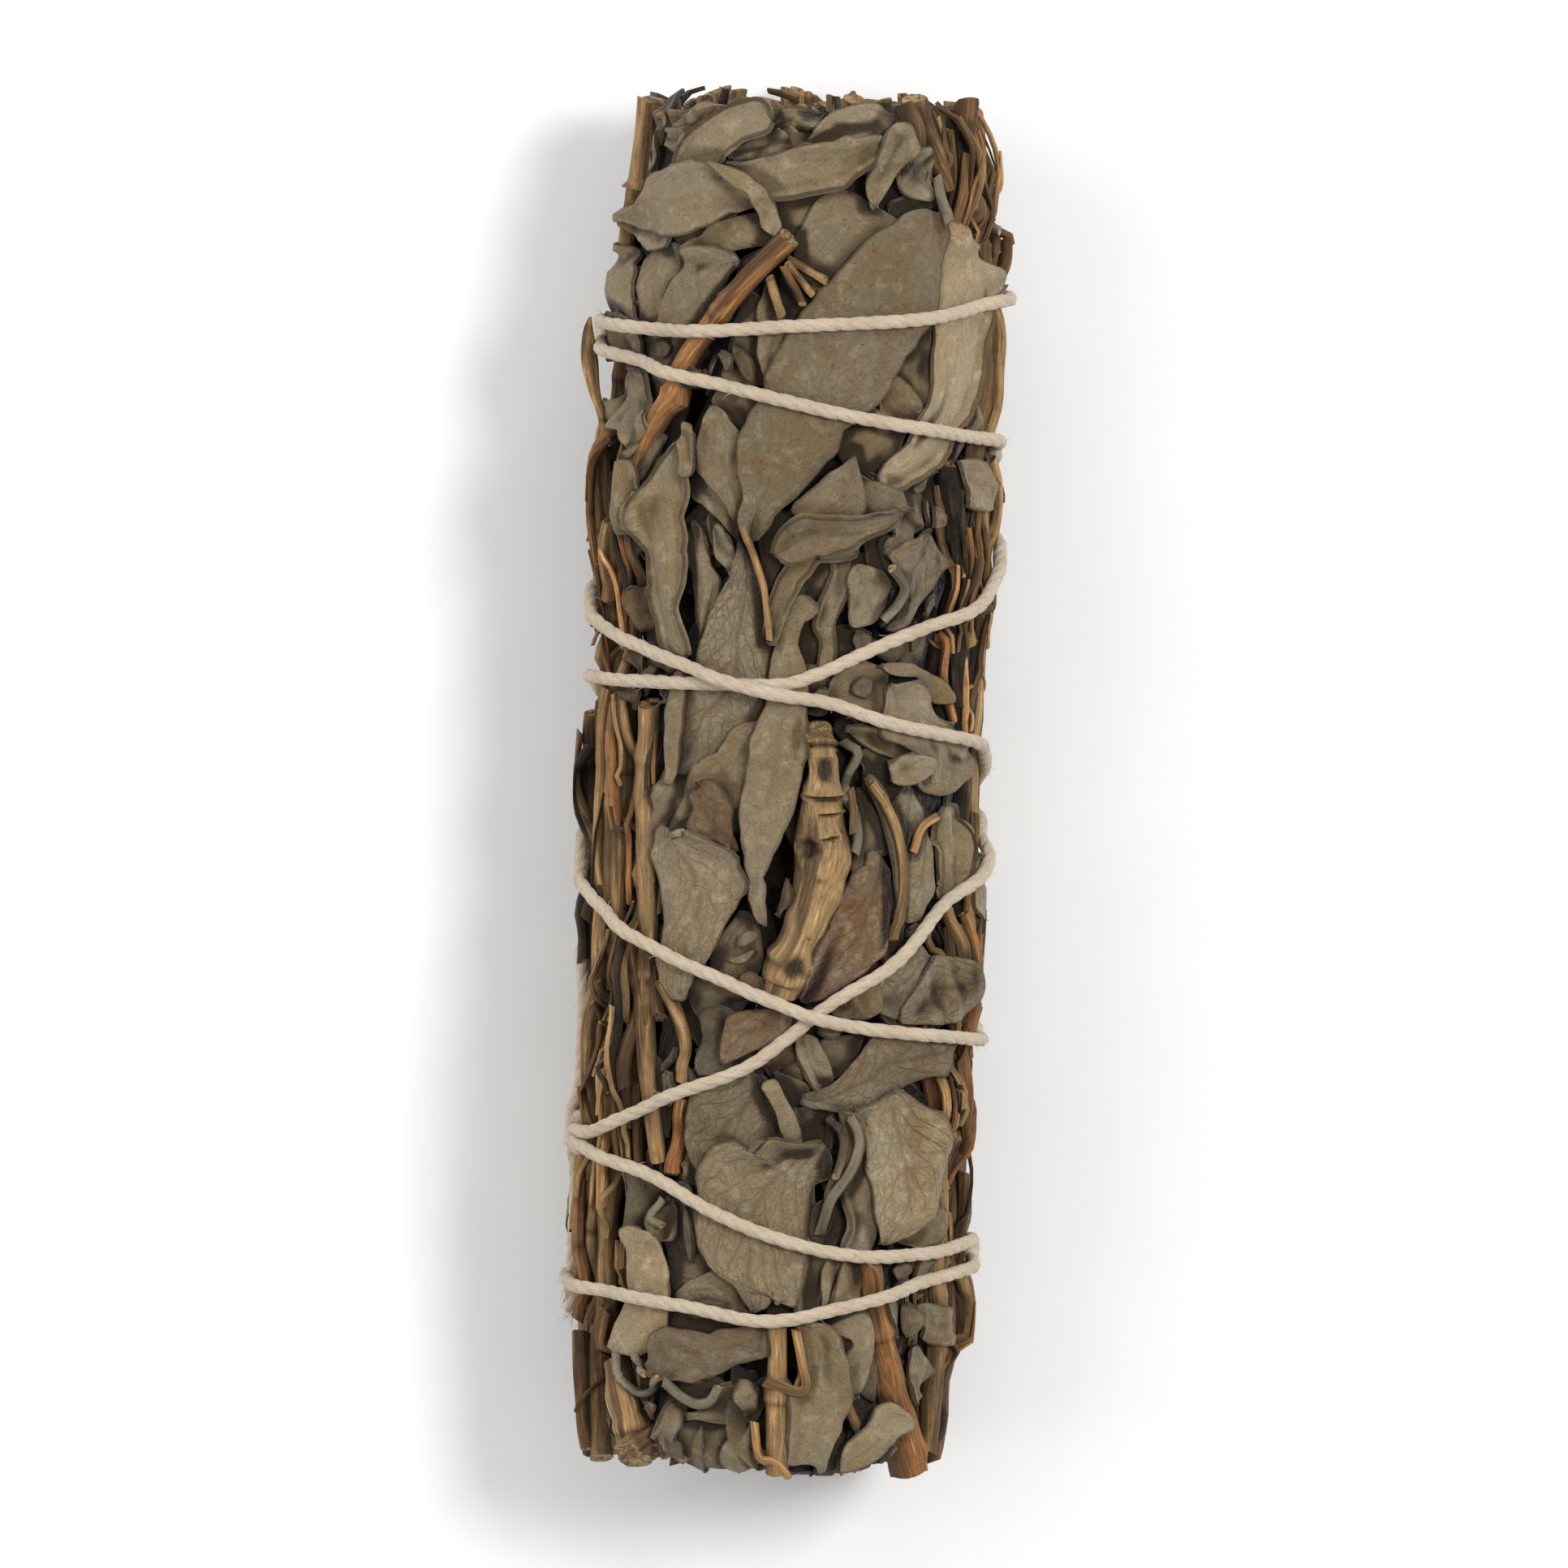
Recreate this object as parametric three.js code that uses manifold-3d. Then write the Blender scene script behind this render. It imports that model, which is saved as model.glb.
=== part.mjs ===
// Dried white sage bundle: leafy stems laid side by side and bound with one cotton twine.
// Millimetres, +Z up. The bundle lies along Y and rests on z = 0, its leafy end at +Y.

import * as THREE from 'three';
import * as BufferGeometryUtils from 'three/addons/utils/BufferGeometryUtils.js';
import Module from 'manifold-3d';

const wasm = await Module();
wasm.setup();

// Driving dimensions.
const halfWidth = 15.2;        // bundle under the twine, across
const halfHeight = 14.9;       // bundle under the twine, up
const axisHeight = 15.1;       // bundle's axis over the surface it lies on
const halfLength = 53.2;       // leaf core
const coreDepth = 2.6;         // core's surface below the bundle's
const twineRadius = 0.7;
const twineRise = 1.0;         // twine's centre over the bundle's surface
const clearance = 0.32;        // between neighbouring pieces
const footHeight = 0.86;       // lowest the twine's centre goes
const shortestEdge = 0.04;     // shorter edges may close up where solids are joined
const degree = Math.PI / 180;

const leafMaterial = new THREE.MeshStandardMaterial({ color: 0x8f8570, roughness: 0.95, metalness: 0 });
const stemMaterial = new THREE.MeshStandardMaterial({ color: 0x8a6a41, roughness: 0.8, metalness: 0 });
const barkMaterial = new THREE.MeshStandardMaterial({ color: 0x5c4c37, roughness: 0.9, metalness: 0 });
const twineMaterial = new THREE.MeshStandardMaterial({ color: 0xcdbca4, roughness: 0.95, metalness: 0 });

// Seeded random numbers from 0 to 1.
function makeRandom(seed) {
  let state = seed;
  return () => {
    state = (state + 0x6d2b79f5) | 0;
    let mixed = Math.imul(state ^ (state >>> 15), 1 | state);
    mixed = (mixed + Math.imul(mixed ^ (mixed >>> 7), 61 | mixed)) ^ mixed;
    return ((mixed ^ (mixed >>> 14)) >>> 0) / 4294967296;
  };
}

// ---- The bundle's round, slightly tapered surface ----

// Share of the full section that is left at y: both ends draw in a little.
function fullness(y) {
  const topTaper = 0.10 * THREE.MathUtils.smoothstep(y, 38, 56);
  const endTaper = 0.07 * THREE.MathUtils.smoothstep(-y, 40, 56);
  return 1 - topTaper - endTaper;
}

// A point at an angle from straight up (clockwise seen from -Y), at y, raised over the surface.
function place(angle, y, rise) {
  const across = (halfWidth * fullness(y) + rise) * Math.sin(angle);
  const up = axisHeight + (halfHeight * fullness(y) + rise) * Math.cos(angle);
  return new THREE.Vector3(across, y, up);
}

// The angle at which a point of the upper side is seen at x from above.
function angleAt(x, y) {
  const limit = halfWidth * fullness(y) * 0.999;
  return Math.asin(THREE.MathUtils.clamp(x, -limit, limit) / (halfWidth * fullness(y)));
}

// ---- Solids ----

// Volume of a closed shell, below zero where its faces point inwards.
function shellVolume(positions, index) {
  const corner = (vertex) => new THREE.Vector3().fromArray(positions, vertex * 3);
  let volume = 0;
  for (let start = 0; start < index.length; start += 3) {
    const [a, b, c] = index.slice(start, start + 3).map(corner);
    volume += a.dot(b.cross(c)) / 6;
  }
  return volume;
}

// A closed body through rings of points, each ring with as many points, ends capped.
function loft(rings) {
  const size = rings[0].length;
  const positions = rings.flat().flatMap((point) => point.toArray());
  const index = [];
  for (let row = 0; row + 1 < rings.length; row += 1) {
    for (let side = 0; side < size; side += 1) {
      const next = (side + 1) % size;
      const [a, b] = [row * size + side, row * size + next];
      index.push(a, b, b + size, a, b + size, a + size);
    }
  }
  const last = (rings.length - 1) * size;
  for (let side = 1; side + 1 < size; side += 1) {
    index.push(0, side + 1, side, last, last + side, last + side + 1);
  }
  const geometry = new THREE.BufferGeometry();
  geometry.setAttribute('position', new THREE.Float32BufferAttribute(positions, 3));
  if (shellVolume(positions, index) < 0) index.reverse();
  geometry.setIndex(index);
  return geometry;
}

function toSolid(geometry) {
  const plain = geometry.clone();
  plain.deleteAttribute('normal');
  plain.deleteAttribute('uv');
  const merged = BufferGeometryUtils.mergeVertices(plain, 1e-4);
  const mesh = new wasm.Mesh({
    numProp: 3,
    vertProperties: new Float32Array(merged.attributes.position.array),
    triVerts: new Uint32Array(merged.index.array),
    tolerance: shortestEdge,
  });
  return new wasm.Manifold(mesh);
}

// Joins solids pair by pair.
function joined(solids) {
  let level = solids;
  while (level.length > 1) {
    const nextLevel = [];
    for (let item = 0; item < level.length; item += 2) {
      nextLevel.push(item + 1 < level.length ? level[item].add(level[item + 1]) : level[item]);
    }
    level = nextLevel;
  }
  return level[0];
}

// The largest body of a solid, without loose scraps and without sealed hollows.
function mainBody(solid) {
  const { vertProperties, triVerts } = solid.getMesh();
  const owner = Array.from({ length: vertProperties.length / 3 }, (_, vertex) => vertex);
  const find = (vertex) => {
    let root = vertex;
    while (owner[root] !== root) {
      owner[root] = owner[owner[root]];
      root = owner[root];
    }
    return root;
  };
  for (let corner = 0; corner < triVerts.length; corner += 3) {
    owner[find(triVerts[corner + 1])] = find(triVerts[corner]);
    owner[find(triVerts[corner + 2])] = find(triVerts[corner]);
  }
  const shells = new Map();
  for (let start = 0; start < triVerts.length; start += 3) {
    const root = find(triVerts[start]);
    if (!shells.has(root)) shells.set(root, []);
    shells.get(root).push(...triVerts.subarray(start, start + 3));
  }
  const volume = (index) => shellVolume(vertProperties, index);
  const [index] = [...shells.values()].sort((one, other) => volume(other) - volume(one));
  const geometry = new THREE.BufferGeometry();
  geometry.setAttribute('position', new THREE.Float32BufferAttribute(vertProperties, 3));
  geometry.setIndex(index);
  return geometry;
}

// ---- Leaves ----

const coreSides = 16;
const coreStations = [-halfLength, -42, 0, 42, halfLength];

function makeCore() {
  const rings = coreStations.map((y) => {
    const ring = [];
    for (let side = 0; side < coreSides; side += 1) {
      ring.push(place((-side / coreSides) * 360 * degree, y, -coreDepth));
    }
    return ring;
  });
  return loft(rings);
}

// Half-width of a sage leaf along its length, as a share of its widest.
const longLeafShape = [[0, 0.3], [0.22, 0.82], [0.52, 1], [0.82, 0.66], [1, 0.16]];
const shortLeafShape = [[0, 0.3], [0.35, 1], [0.75, 0.8], [1, 0.16]];
const shortLeaf = 8;           // leaves up to this length have the simpler outline
const rootDepth = 3.2;         // how far under the bundle's surface a leaf is rooted
const riseOfLayer = [-1.15, -0.6, -0.05, 0.5];

// A leaf lying on the bundle. from and to are [angle, y] of its stalk end and tip.
// Its middle bows sideways by bend, its face stands at rise and is arched by crown.
function leaf({ from, to, width, rise, bend = 0, crown = 0.4, wave = 0.22 }) {
  const radius = halfWidth;
  const start = new THREE.Vector2(from[0] * radius, from[1]);
  const end = new THREE.Vector2(to[0] * radius, to[1]);
  const along = end.clone().sub(start).normalize();
  const aside = new THREE.Vector2(-along.y, along.x);
  const shape = start.distanceTo(end) > shortLeaf ? longLeafShape : shortLeafShape;
  const rings = shape.map(([share, fill], station) => {
    const middle = start.clone().lerp(end, share).addScaledVector(aside, bend * Math.sin(Math.PI * share));
    const edge = (width / 2) * fill;
    const ripple = station % 2 === 0 ? wave : -wave;
    const at = (offset, lift) => {
      const spot = middle.clone().addScaledVector(aside, offset);
      return place(spot.x / radius, spot.y, lift);
    };
    return [
      at(edge, rise + ripple),
      at(0, rise + crown),
      at(-edge, rise - ripple),
      at(-edge * 0.8, -rootDepth),
      at(edge * 0.8, -rootDepth),
    ];
  });
  return loft(rings);
}

// Leaves of the upper side: stalk end x, y, tip x, y, width, layer and sideways bow.
const upperLeaves = [
  // leafy end, folded over
  [-13, 51.3, -8.3, 54.6, 3.4, 1, 0],
  [-11, 49.4, -3.6, 54.2, 3, 3, 0],
  [-3.6, 52.4, 1.6, 54.6, 3, 1, 0],
  [-4.6, 51.6, 6.6, 54.4, 2.8, 2, 0.3],
  [-7, 49.4, 6.6, 52, 2.8, 3, 0.4],
  [-3.4, 47.4, 5.4, 50.4, 2.8, 2, 0.4],
  [7, 53.4, 5, 47.2, 3, 3, 0.4],
  [-3, 45, -15, 46, 5.6, 3, 0.6],
  [-15.2, 43.8, -8.8, 43.2, 2.2, 1, 0],
  [-9.6, 43.8, -2.4, 45.2, 2.4, 2, 0],
  [-2.8, 45, 2.4, 49, 2.8, 1, 0],
  [-1.6, 42.2, 6.2, 46.6, 4.8, 2, 0],
  [7.4, 51.8, 9.8, 49.4, 2.6, 2, 0],
  [7.2, 48.6, 11.2, 47.8, 2.4, 1, 0],
  // broad leaves under the top turns
  [-4.6, 21.4, 10.6, 47, 9.6, 3, 0.5],
  [12.6, 45.6, 6.8, 25, 6, 1, 2.6],
  [-15.2, 43, -15, 36.6, 2.8, 1, 0],
  [-8, 43, -11, 36.4, 5, 1, 0.4],
  [-10.6, 42.6, -13.2, 37.2, 3, 0, -0.6],
  [-7, 38.6, -6.4, 29, 5.2, 0, 0],
  [-2.4, 41.6, -3.4, 35, 3.4, 1, 0],
  [-11.6, 36, -13.4, 27.6, 4.4, 0, 0],
  [-5, 21.2, -7.6, 30.2, 4, 2, 0.5],
  [-9.6, 25, -6, 22.2, 2.2, 1, 0],
  [-9.8, 27, -11.2, 13, 3.4, 3, -0.7],
  // crossing tips and stalks of the waist
  [-8.3, 20.6, -7.8, 12.4, 2.8, 1, 0],
  [-5.9, 22.2, -5.6, 17, 1.8, 1, 0],
  [-4, 19.6, -9.6, -3.6, 5.8, 1, 0.8],
  [-3.5, 4.8, -9.6, -4, 4.8, 2, 0.6],
  [0.4, 15.2, -2, -10.6, 4.2, 3, 0.3],
  [-3.6, 20, -2, 11.8, 1.2, 2, 0.4],
  [0.9, 18.2, -1.6, 12.8, 1.4, 2, 0],
  [4.4, 19.6, 3, 12, 2, 3, 0],
  [0.5, 21.4, 4.8, 26.6, 4.4, 3, 0],
  [0, 18.4, 9.2, 22.4, 2.8, 2, 0.4],
  [4.9, 25.6, 9.2, 22.8, 2, 1, 0],
  [9, 25, 9.8, 21.2, 2.4, 1, 0],
  [6.4, 20.4, 9.6, 19.6, 2, 0, 0],
  [11.6, 20.4, 8.4, 13.4, 4, 2, 0.3],
  [5.9, 18, 5.8, 13.4, 3, 1, 0],
  [3.8, 7.6, 8.2, 9, 3.4, 1, 0],
  [7, 10, 13.2, 7.4, 1.6, 2, -0.5],
  [9, 8, 12, -0.8, 5.2, 2, 0.4],
  // around the knotty stem
  [7, 1.6, 7, -6, 2.8, 0, 0],
  [8.1, -4.4, 3, -17.2, 5.6, 1, 0.8],
  [9.8, 0.9, 9.8, -5.6, 2.2, 1, 0],
  [11.8, -2.8, 11, -10.6, 3.6, 2, 0],
  [13.4, -1.6, 14.2, -8.6, 2.2, 1, 0],
  [-8.6, -3.8, -7.7, -17.4, 5.8, 3, 0.5],
  [-6, -1.2, -5.4, -5.2, 2.8, 2, 0],
  [-3, -9.8, -4, -15.8, 3.2, 1, 0],
  [-4, -15.8, -5.6, -22.6, 3.8, 1, 0],
  [-4.2, -17.6, 1.2, -20.6, 3.2, 0, 0],
  [11.7, -12.6, 8.4, -18.4, 2.4, 1, 0],
  [13.8, -13.4, 9.8, -18.6, 3, 2, 0],
  // broad leaves of the lower half
  [13.2, -20.6, 1.8, -25.2, 4.2, 3, -1],
  [-6, -30.6, -0.4, -23.6, 5.6, 1, 0.3],
  [-1, -42.2, -0.6, -28, 9.4, 2, 0],
  [-8.4, -34.4, -7, -41.6, 3.8, 1, 0],
  [-10.9, -36.2, -10.4, -46.2, 3.4, 3, 0],
  [8, -25, 11.6, -35.8, 4.6, 3, 0.5],
  [6.4, -27.6, 6.8, -36.8, 3.4, 1, 0],
  [5.6, -25.8, 4.6, -33.8, 1.2, 2, 0.8],
  [0.8, -26.6, 4.8, -27.4, 2.2, 1, 0],
  // lower end
  [-9.6, -45.8, 0, -44.8, 3.8, 3, -0.4],
  [-8.9, -43, -3.4, -43.6, 1.8, 1, 0],
  [-8.2, -48, -3.6, -48.4, 1.8, 1, -0.4],
  [-6.6, -50.8, -0.8, -49, 2.6, 2, 0],
  [-5.4, -50.8, -5.4, -54.6, 4.4, 1, 0],
  [-8, -50.4, -8.2, -53.8, 2.4, 0, 0],
  [4, -43.2, 3.9, -54.6, 4, 3, 0.3],
  [6.9, -42.6, 7.8, -48.6, 2.4, 1, 0],
  [10.8, -50, 7.4, -54.4, 2.8, 3, 0.4],
];

function makeUpperLeaves() {
  return upperLeaves.map(([x0, y0, x1, y1, width, layer, bend]) => leaf({
    from: [angleAt(x0, y0), y0],
    to: [angleAt(x1, y1), y1],
    width,
    rise: riseOfLayer[layer],
    bend,
  }));
}

// Leaves of the sides and the under side, in rows round the bundle, each turned a little.
const hiddenRows = 7;
const hiddenAngles = [132, -132];

function makeHiddenLeaves() {
  const random = makeRandom(20260);
  const leaves = [];
  for (let row = 0; row < hiddenRows; row += 1) {
    const rowY = THREE.MathUtils.lerp(-47, 48, row / (hiddenRows - 1));
    hiddenAngles.forEach((angle, column) => {
      const y = rowY + (column % 2) * 5 + (random() - 0.5) * 4;
      const length = 12 + random() * 6;
      const turn = (random() - 0.5) * 1.1;
      const spread = (length * Math.sin(turn)) / halfWidth / 2;
      const reach = (length * Math.cos(turn)) / 2;
      const heading = random() < 0.5 ? 1 : -1;
      const middle = THREE.MathUtils.clamp(y, -46.5, 47.5);
      leaves.push(leaf({
        from: [angle * degree - spread, middle - heading * reach],
        to: [angle * degree + spread, middle + heading * reach],
        width: 6.4 + random() * 2.6,
        rise: -0.9 + random() * 0.9,
        bend: (random() - 0.5) * 2,
        wave: 0.15,
      }));
    });
  }
  return leaves;
}

// Broad leaves pressed flat underneath, slantwise over each other, which the bundle rests on.
const restLeaves = [-43, -29, -15, -1, 13, 27, 42];
const restRise = 0.9;
const restSlant = 9;

function makeRestLeaves() {
  return restLeaves.map((y, item) => {
    const slant = item % 2 === 0 ? restSlant : -restSlant;
    return leaf({
      from: [(180 - slant) * degree, y - 9.4],
      to: [(180 + slant) * degree, y + 9.4],
      width: 10.5,
      rise: restRise,
      bend: 0.6,
      wave: 0.1,
    });
  });
}

// Leaves folded in among the stems, seen on edge at the bundle's two cut ends.
const foldsPerEnd = 8;
const foldThickness = 0.8;

function makeEndFolds() {
  const random = makeRandom(77);
  const folds = [];
  [1, -1].forEach((end) => {
    for (let fold = 0; fold < foldsPerEnd; fold += 1) {
      const radius = 3.4 + 7.6 * ((fold * 0.382) % 1);
      const middle = fold * 2.4 + random();
      const sweep = (5 + random() * 4) / radius;
      const height = 0.9 + random() * 0.9;
      const rings = [-0.5, -0.15, 0.2, 0.5].map((share, station) => {
        const angle = middle + sweep * share;
        const bow = station % 2 === 0 ? 0.3 : -0.3;
        const tip = halfLength + (Math.abs(share) === 0.5 ? height * 0.6 : height);
        const at = (offset, y) => new THREE.Vector3(
          (radius + bow + offset) * Math.sin(angle),
          end * y,
          axisHeight + (radius + bow + offset) * Math.cos(angle),
        );
        const half = foldThickness / 2;
        return [at(-half, halfLength - 1), at(half, halfLength - 1), at(half, tip), at(-half, tip)];
      });
      folds.push(loft(rings));
    }
  });
  return folds;
}

// ---- Stems ----

// A woody stem through [angle, y, radius] stations, lying just under the bundle's surface.
function stem(stations, grow = 0, sides = 7) {
  const centres = stations.map(([angle, y, radius]) => place(angle * degree, y, -radius));
  const rings = stations.map(([angle, , radius], station) => {
    const before = centres[Math.max(station - 1, 0)];
    const after = centres[Math.min(station + 1, centres.length - 1)];
    const along = after.clone().sub(before).normalize();
    const outward = new THREE.Vector3(Math.sin(angle * degree), 0, Math.cos(angle * degree));
    const aside = new THREE.Vector3().crossVectors(outward, along).normalize();
    const normal = new THREE.Vector3().crossVectors(along, aside);
    const centre = centres[station].clone();
    if (station === 0) centre.addScaledVector(along, -grow);
    if (station === stations.length - 1) centre.addScaledVector(along, grow);
    const ring = [];
    for (let side = 0; side < sides; side += 1) {
      const turn = (side / sides) * 2 * Math.PI;
      const spot = centre.clone();
      spot.addScaledVector(normal, (radius + grow) * Math.cos(turn));
      spot.addScaledVector(aside, (radius + grow) * Math.sin(turn));
      ring.push(spot);
    }
    return ring;
  });
  return loft(rings);
}

// Stems of the upper side: x and y as seen from above, and radius.
const upperStems = {
  long_front_stem: [[-1.5, 44.3, 0.95], [-4.5, 41, 0.9], [-9.5, 34, 0.9], [-10.2, 31.4, 1.15],
    [-11.4, 28.8, 0.9], [-13.4, 22, 0.9], [-14.4, 14.5, 0.85]],
  knotty_stem: [[2.9, 2.8, 1.5], [3, 0.6, 1.7], [3.1, -2, 1.5], [3.1, -5.6, 2.2], [2.7, -8.4, 1.9],
    [1.1, -12.4, 1.75], [0.4, -14, 2.1], [-0.4, -16.4, 1.6]],
  thick_lower_stem: [[8.4, -38, 1], [9.2, -43.6, 1.25], [10.5, -47.7, 1.6], [12, -52.8, 1.6],
    [12.6, -55.4, 1.5]],
  thin_lower_stem: [[0.7, -43, 0.85], [0.9, -47.2, 0.85], [0.95, -48, 1.1], [1, -48.8, 0.9],
    [1.1, -55, 0.9]],
  cut_face_stem: [[-12.6, -47.4, 1.3], [-11.6, -51, 1.4], [-10.8, -54.8, 1.3]],
  lower_right_stem: [[13.3, -22, 0.8], [13.5, -31, 0.8], [13.5, -31.8, 1.05], [13.6, -32.6, 0.8],
    [13.9, -44, 0.85], [13.6, -53.6, 0.8]],
  inner_left_stem: [[-11.8, 6.2, 1], [-11.9, -1, 1.05], [-11.2, -10, 0.8], [-11.2, -19, 0.8],
    [-9.7, -30.4, 0.7]],
  bark_right_stem: [[12.2, 26.4, 1.1], [13.4, 19, 1.2], [13.6, 12, 1.15], [13.6, 3.4, 1]],
  top_right_stem: [[13, 55.3, 1], [13, 50, 1], [13, 46.6, 0.9]],
  top_cut_stem: [[8.6, 55.6, 1], [10.2, 51.6, 0.95], [11.4, 48.6, 0.7]],
};

// Stem at the left edge: angle, y and radius.
const topLeftStem = [[-85, 54.4, 0.9], [-82, 49, 1], [-82, 47.2, 1.2], [-82, 46.4, 0.9], [-82, 42.6, 0.7]];

function makeSeenStations(points) {
  return points.map(([x, y, radius]) => [angleAt(x, y) / degree, y, radius]);
}

// Stems of the sides: angle, lowest y, highest y, radius.
const sideStems = [
  [-64, -45.6, -22, 0.9], [-63.4, -17, 8, 0.7], [-72, -55.2, 10, 0.95], [-81, -54, 30, 1],
  [-91, -55, 24, 0.95], [-101, -53.5, 38, 1.05], [-112, -55, 12, 1.1], [-112, 19, 54.6, 0.95],
  [73, -19, 12, 0.85], [82, -44.2, 44.4, 0.95], [92, -55, 26, 1], [102, -30, 54.6, 1.1],
  [113, -54.5, 34, 1.05],
];

function makeSideStations([angle, low, high, radius], item) {
  const stations = [];
  const joints = Math.max(3, Math.round((high - low) / 16));
  for (let joint = 0; joint <= joints; joint += 1) {
    const share = joint / joints;
    const sway = 1.1 * Math.sin(share * 4 + item * 0.4);
    const swell = joint % 2 === 1 ? 1.1 : 0.95;
    stations.push([angle + sway, THREE.MathUtils.lerp(high, low, share), radius * swell]);
  }
  return stations;
}

// Woody middles of the leafy stems, straight through the bundle: x, z, radius.
const innerStems = [[-6, 19, 1.5], [1.5, 21.5, 1.4], [8, 17, 1.6], [-8, 10.5, 1.3], [0, 13, 1.7],
  [6.5, 8.6, 1.4], [-1.5, 7, 1.2]];
const innerReach = 55.2;

function innerStem([x, z, radius], item, grow = 0) {
  const end = grow > 0 ? innerReach + 5 : innerReach - (item % 3) * 0.7;
  const rings = [end, -end].map((y) => {
    const ring = [];
    for (let side = 0; side < 8; side += 1) {
      const turn = (side / 8) * 2 * Math.PI;
      const reach = radius + grow;
      ring.push(new THREE.Vector3(x + reach * Math.sin(turn), y, z + reach * Math.cos(turn)));
    }
    return ring;
  });
  return loft(rings);
}

// ---- Twine ----

// Route of the one length of twine: angle in degrees, y and lift over the turn below.
const front = (x, y, lift = 0) => {
  const share = THREE.MathUtils.clamp(x / (halfWidth + twineRise), -0.995, 0.995);
  return [Math.asin(share) / degree, y, lift];
};
const twineUp = [
  [-97, -43.6, 0.3], [-93, -38, 0.2], [-92, -32, 0.4], [-84, -29, 0.6],
  front(-14, -28.4), front(-9, -25.3), front(-3, -22.7), front(1, -19.8), front(4.5, -17), front(9, -14),
  front(13, -9.8), front(15.4, -7),
  [90, -4.4, 0], [130, -1.6, 0], [180, 1.2, 0], [230, 4.6, 0], [268, 7.6, 0],
  [360 - 52, 8, 0], [360 - 22, 8.2, 0], [360 - 3.5, 8.4, 0], [360 + 7, 9.3, 0], [360 + 29.6, 12, 0],
  [360 + 59.8, 14.8, 0], [360 + 90, 19.4, 0], [360 + 130, 24, 0], [360 + 180, 28.4, 0],
  [360 + 220, 32.6, 0], [360 + 250, 35.6, 0], [360 + 262, 36.3, 0], [720 - 84, 36.6, 0],
  [720 - 38, 36.4, 0], [720, 37.3, 0], [720 + 38, 38.1, 0], [720 + 84, 39.6, 0],
  [720 + 130, 39.2, 0], [720 + 180, 38, 0],
];
const twineDown = [
  [720 + 180, 38, 0], [720 + 225, 36.6, 0.6], [720 + 250, 35.6, 1.4], [720 + 266, 35, 0.5],
  [1080 - 78, 34.5, 0], [1080 - 55, 33.6, 0], [1080 - 18, 31.9, 0], [1080 + 18, 30, 0],
  [1080 + 52, 28.8, 0], [1080 + 88, 27.8, 0],
  [1080 + 115, 25.8, 0.8], [1080 + 133, 24.4, 1.5], [1080 + 152, 22.8, 0.7], [1080 + 200, 19.6, 0],
  [1080 + 250, 16.6, 0], [1440 - 88, 14.6, 0],
  [1440 - 66, 12, 0], [1440 - 38, 10, 0], [1440 - 17, 8.4, 0.6], [1440 - 3, 7.6, 1.5], [1440 + 12, 7, 0.7],
  [1440 + 32, 5.4, 0], [1440 + 66, 3.8, 0], [1440 + 92, 1.4, 0], [1440 + 112, 0.2, 0.7],
  [1440 + 133, -1, 1.5], [1440 + 156, -1.8, 0.7], [1440 + 210, -3, 0], [1440 + 262, -4.4, 0],
  [1800 - 84, -8, 0], [1800 - 48, -12.4, 0], [1800 - 25, -14.8, 0.2], [1800 - 3, -17, 0.7],
  [1800 + 9, -18.2, 1.5],
  [1800 + 24, -19, 0.7], [1800 + 48, -19.6, 0], [1800 + 88, -20.2, 0],
  [1800 + 140, -18.8, 0], [1800 + 200, -16, 0], [1800 + 250, -14.4, 0], [2160 - 96, -18, 0.2],
  [2160 - 95, -25, 0.2], [2160 - 86, -28.8, 0.6],
];
const twineLow = [
  [-86, -28.8, 0.6], [-66, -30, 0.1], [-38, -31.8, 0], [-18, -34.2, 0], [0, -36, 0], [22, -37.3, 0],
  [48, -37.4, 0], [85, -36.6, 0], [125, -37.4, 0], [180, -39, 0], [230, -40.4, 0], [268, -41, 0],
];
const twineEnd = [
  [268, -41, 0], [360 - 52, -41.4, 0], [360 - 26, -42, 0], [360, -42.8, 0], [360 + 26, -41.3, 0],
  [360 + 53, -39.6, 0], [360 + 80, -38.6, 0], [360 + 98, -38.2, 0.5], [360 + 118, -37.3, 1.4],
  [360 + 138, -36, 0.6],
  [360 + 180, -34, 0], [360 + 225, -32, 0], [360 + 262, -29.8, 0.3], [360 + 272, -29, 0.8],
];
const twineStep = 6;           // between rings along the twine
const twineSides = 6;

// Centres along part of the route, following the bundle's round surface.
function twineCentres(route) {
  const unrolled = route.map(([angle, y, lift]) => new THREE.Vector3(angle * degree * halfWidth, y, lift));
  const curve = new THREE.CatmullRomCurve3(unrolled, false, 'centripetal');
  const steps = Math.round(curve.getLength() / twineStep);
  return curve.getSpacedPoints(steps).map((spot) => {
    const centre = place(spot.x / halfWidth, spot.y, twineRise + spot.z);
    centre.z = Math.max(centre.z, footHeight);
    return { centre, angle: spot.x / halfWidth };
  });
}

function twineTube(route, radius) {
  const spots = twineCentres(route);
  const rings = spots.map(({ centre, angle }, item) => {
    const before = spots[Math.max(item - 1, 0)].centre;
    const after = spots[Math.min(item + 1, spots.length - 1)].centre;
    const along = after.clone().sub(before).normalize();
    const outward = new THREE.Vector3(Math.sin(angle), 0, Math.cos(angle));
    const aside = new THREE.Vector3().crossVectors(outward, along).normalize();
    const normal = new THREE.Vector3().crossVectors(along, aside);
    const ring = [];
    for (let side = 0; side < twineSides; side += 1) {
      const turn = ((side + 0.5) / twineSides) * 2 * Math.PI;
      const spot = centre.clone();
      spot.addScaledVector(normal, radius * Math.cos(turn));
      spot.addScaledVector(aside, radius * Math.sin(turn));
      ring.push(spot);
    }
    return ring;
  });
  return loft(rings);
}

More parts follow.
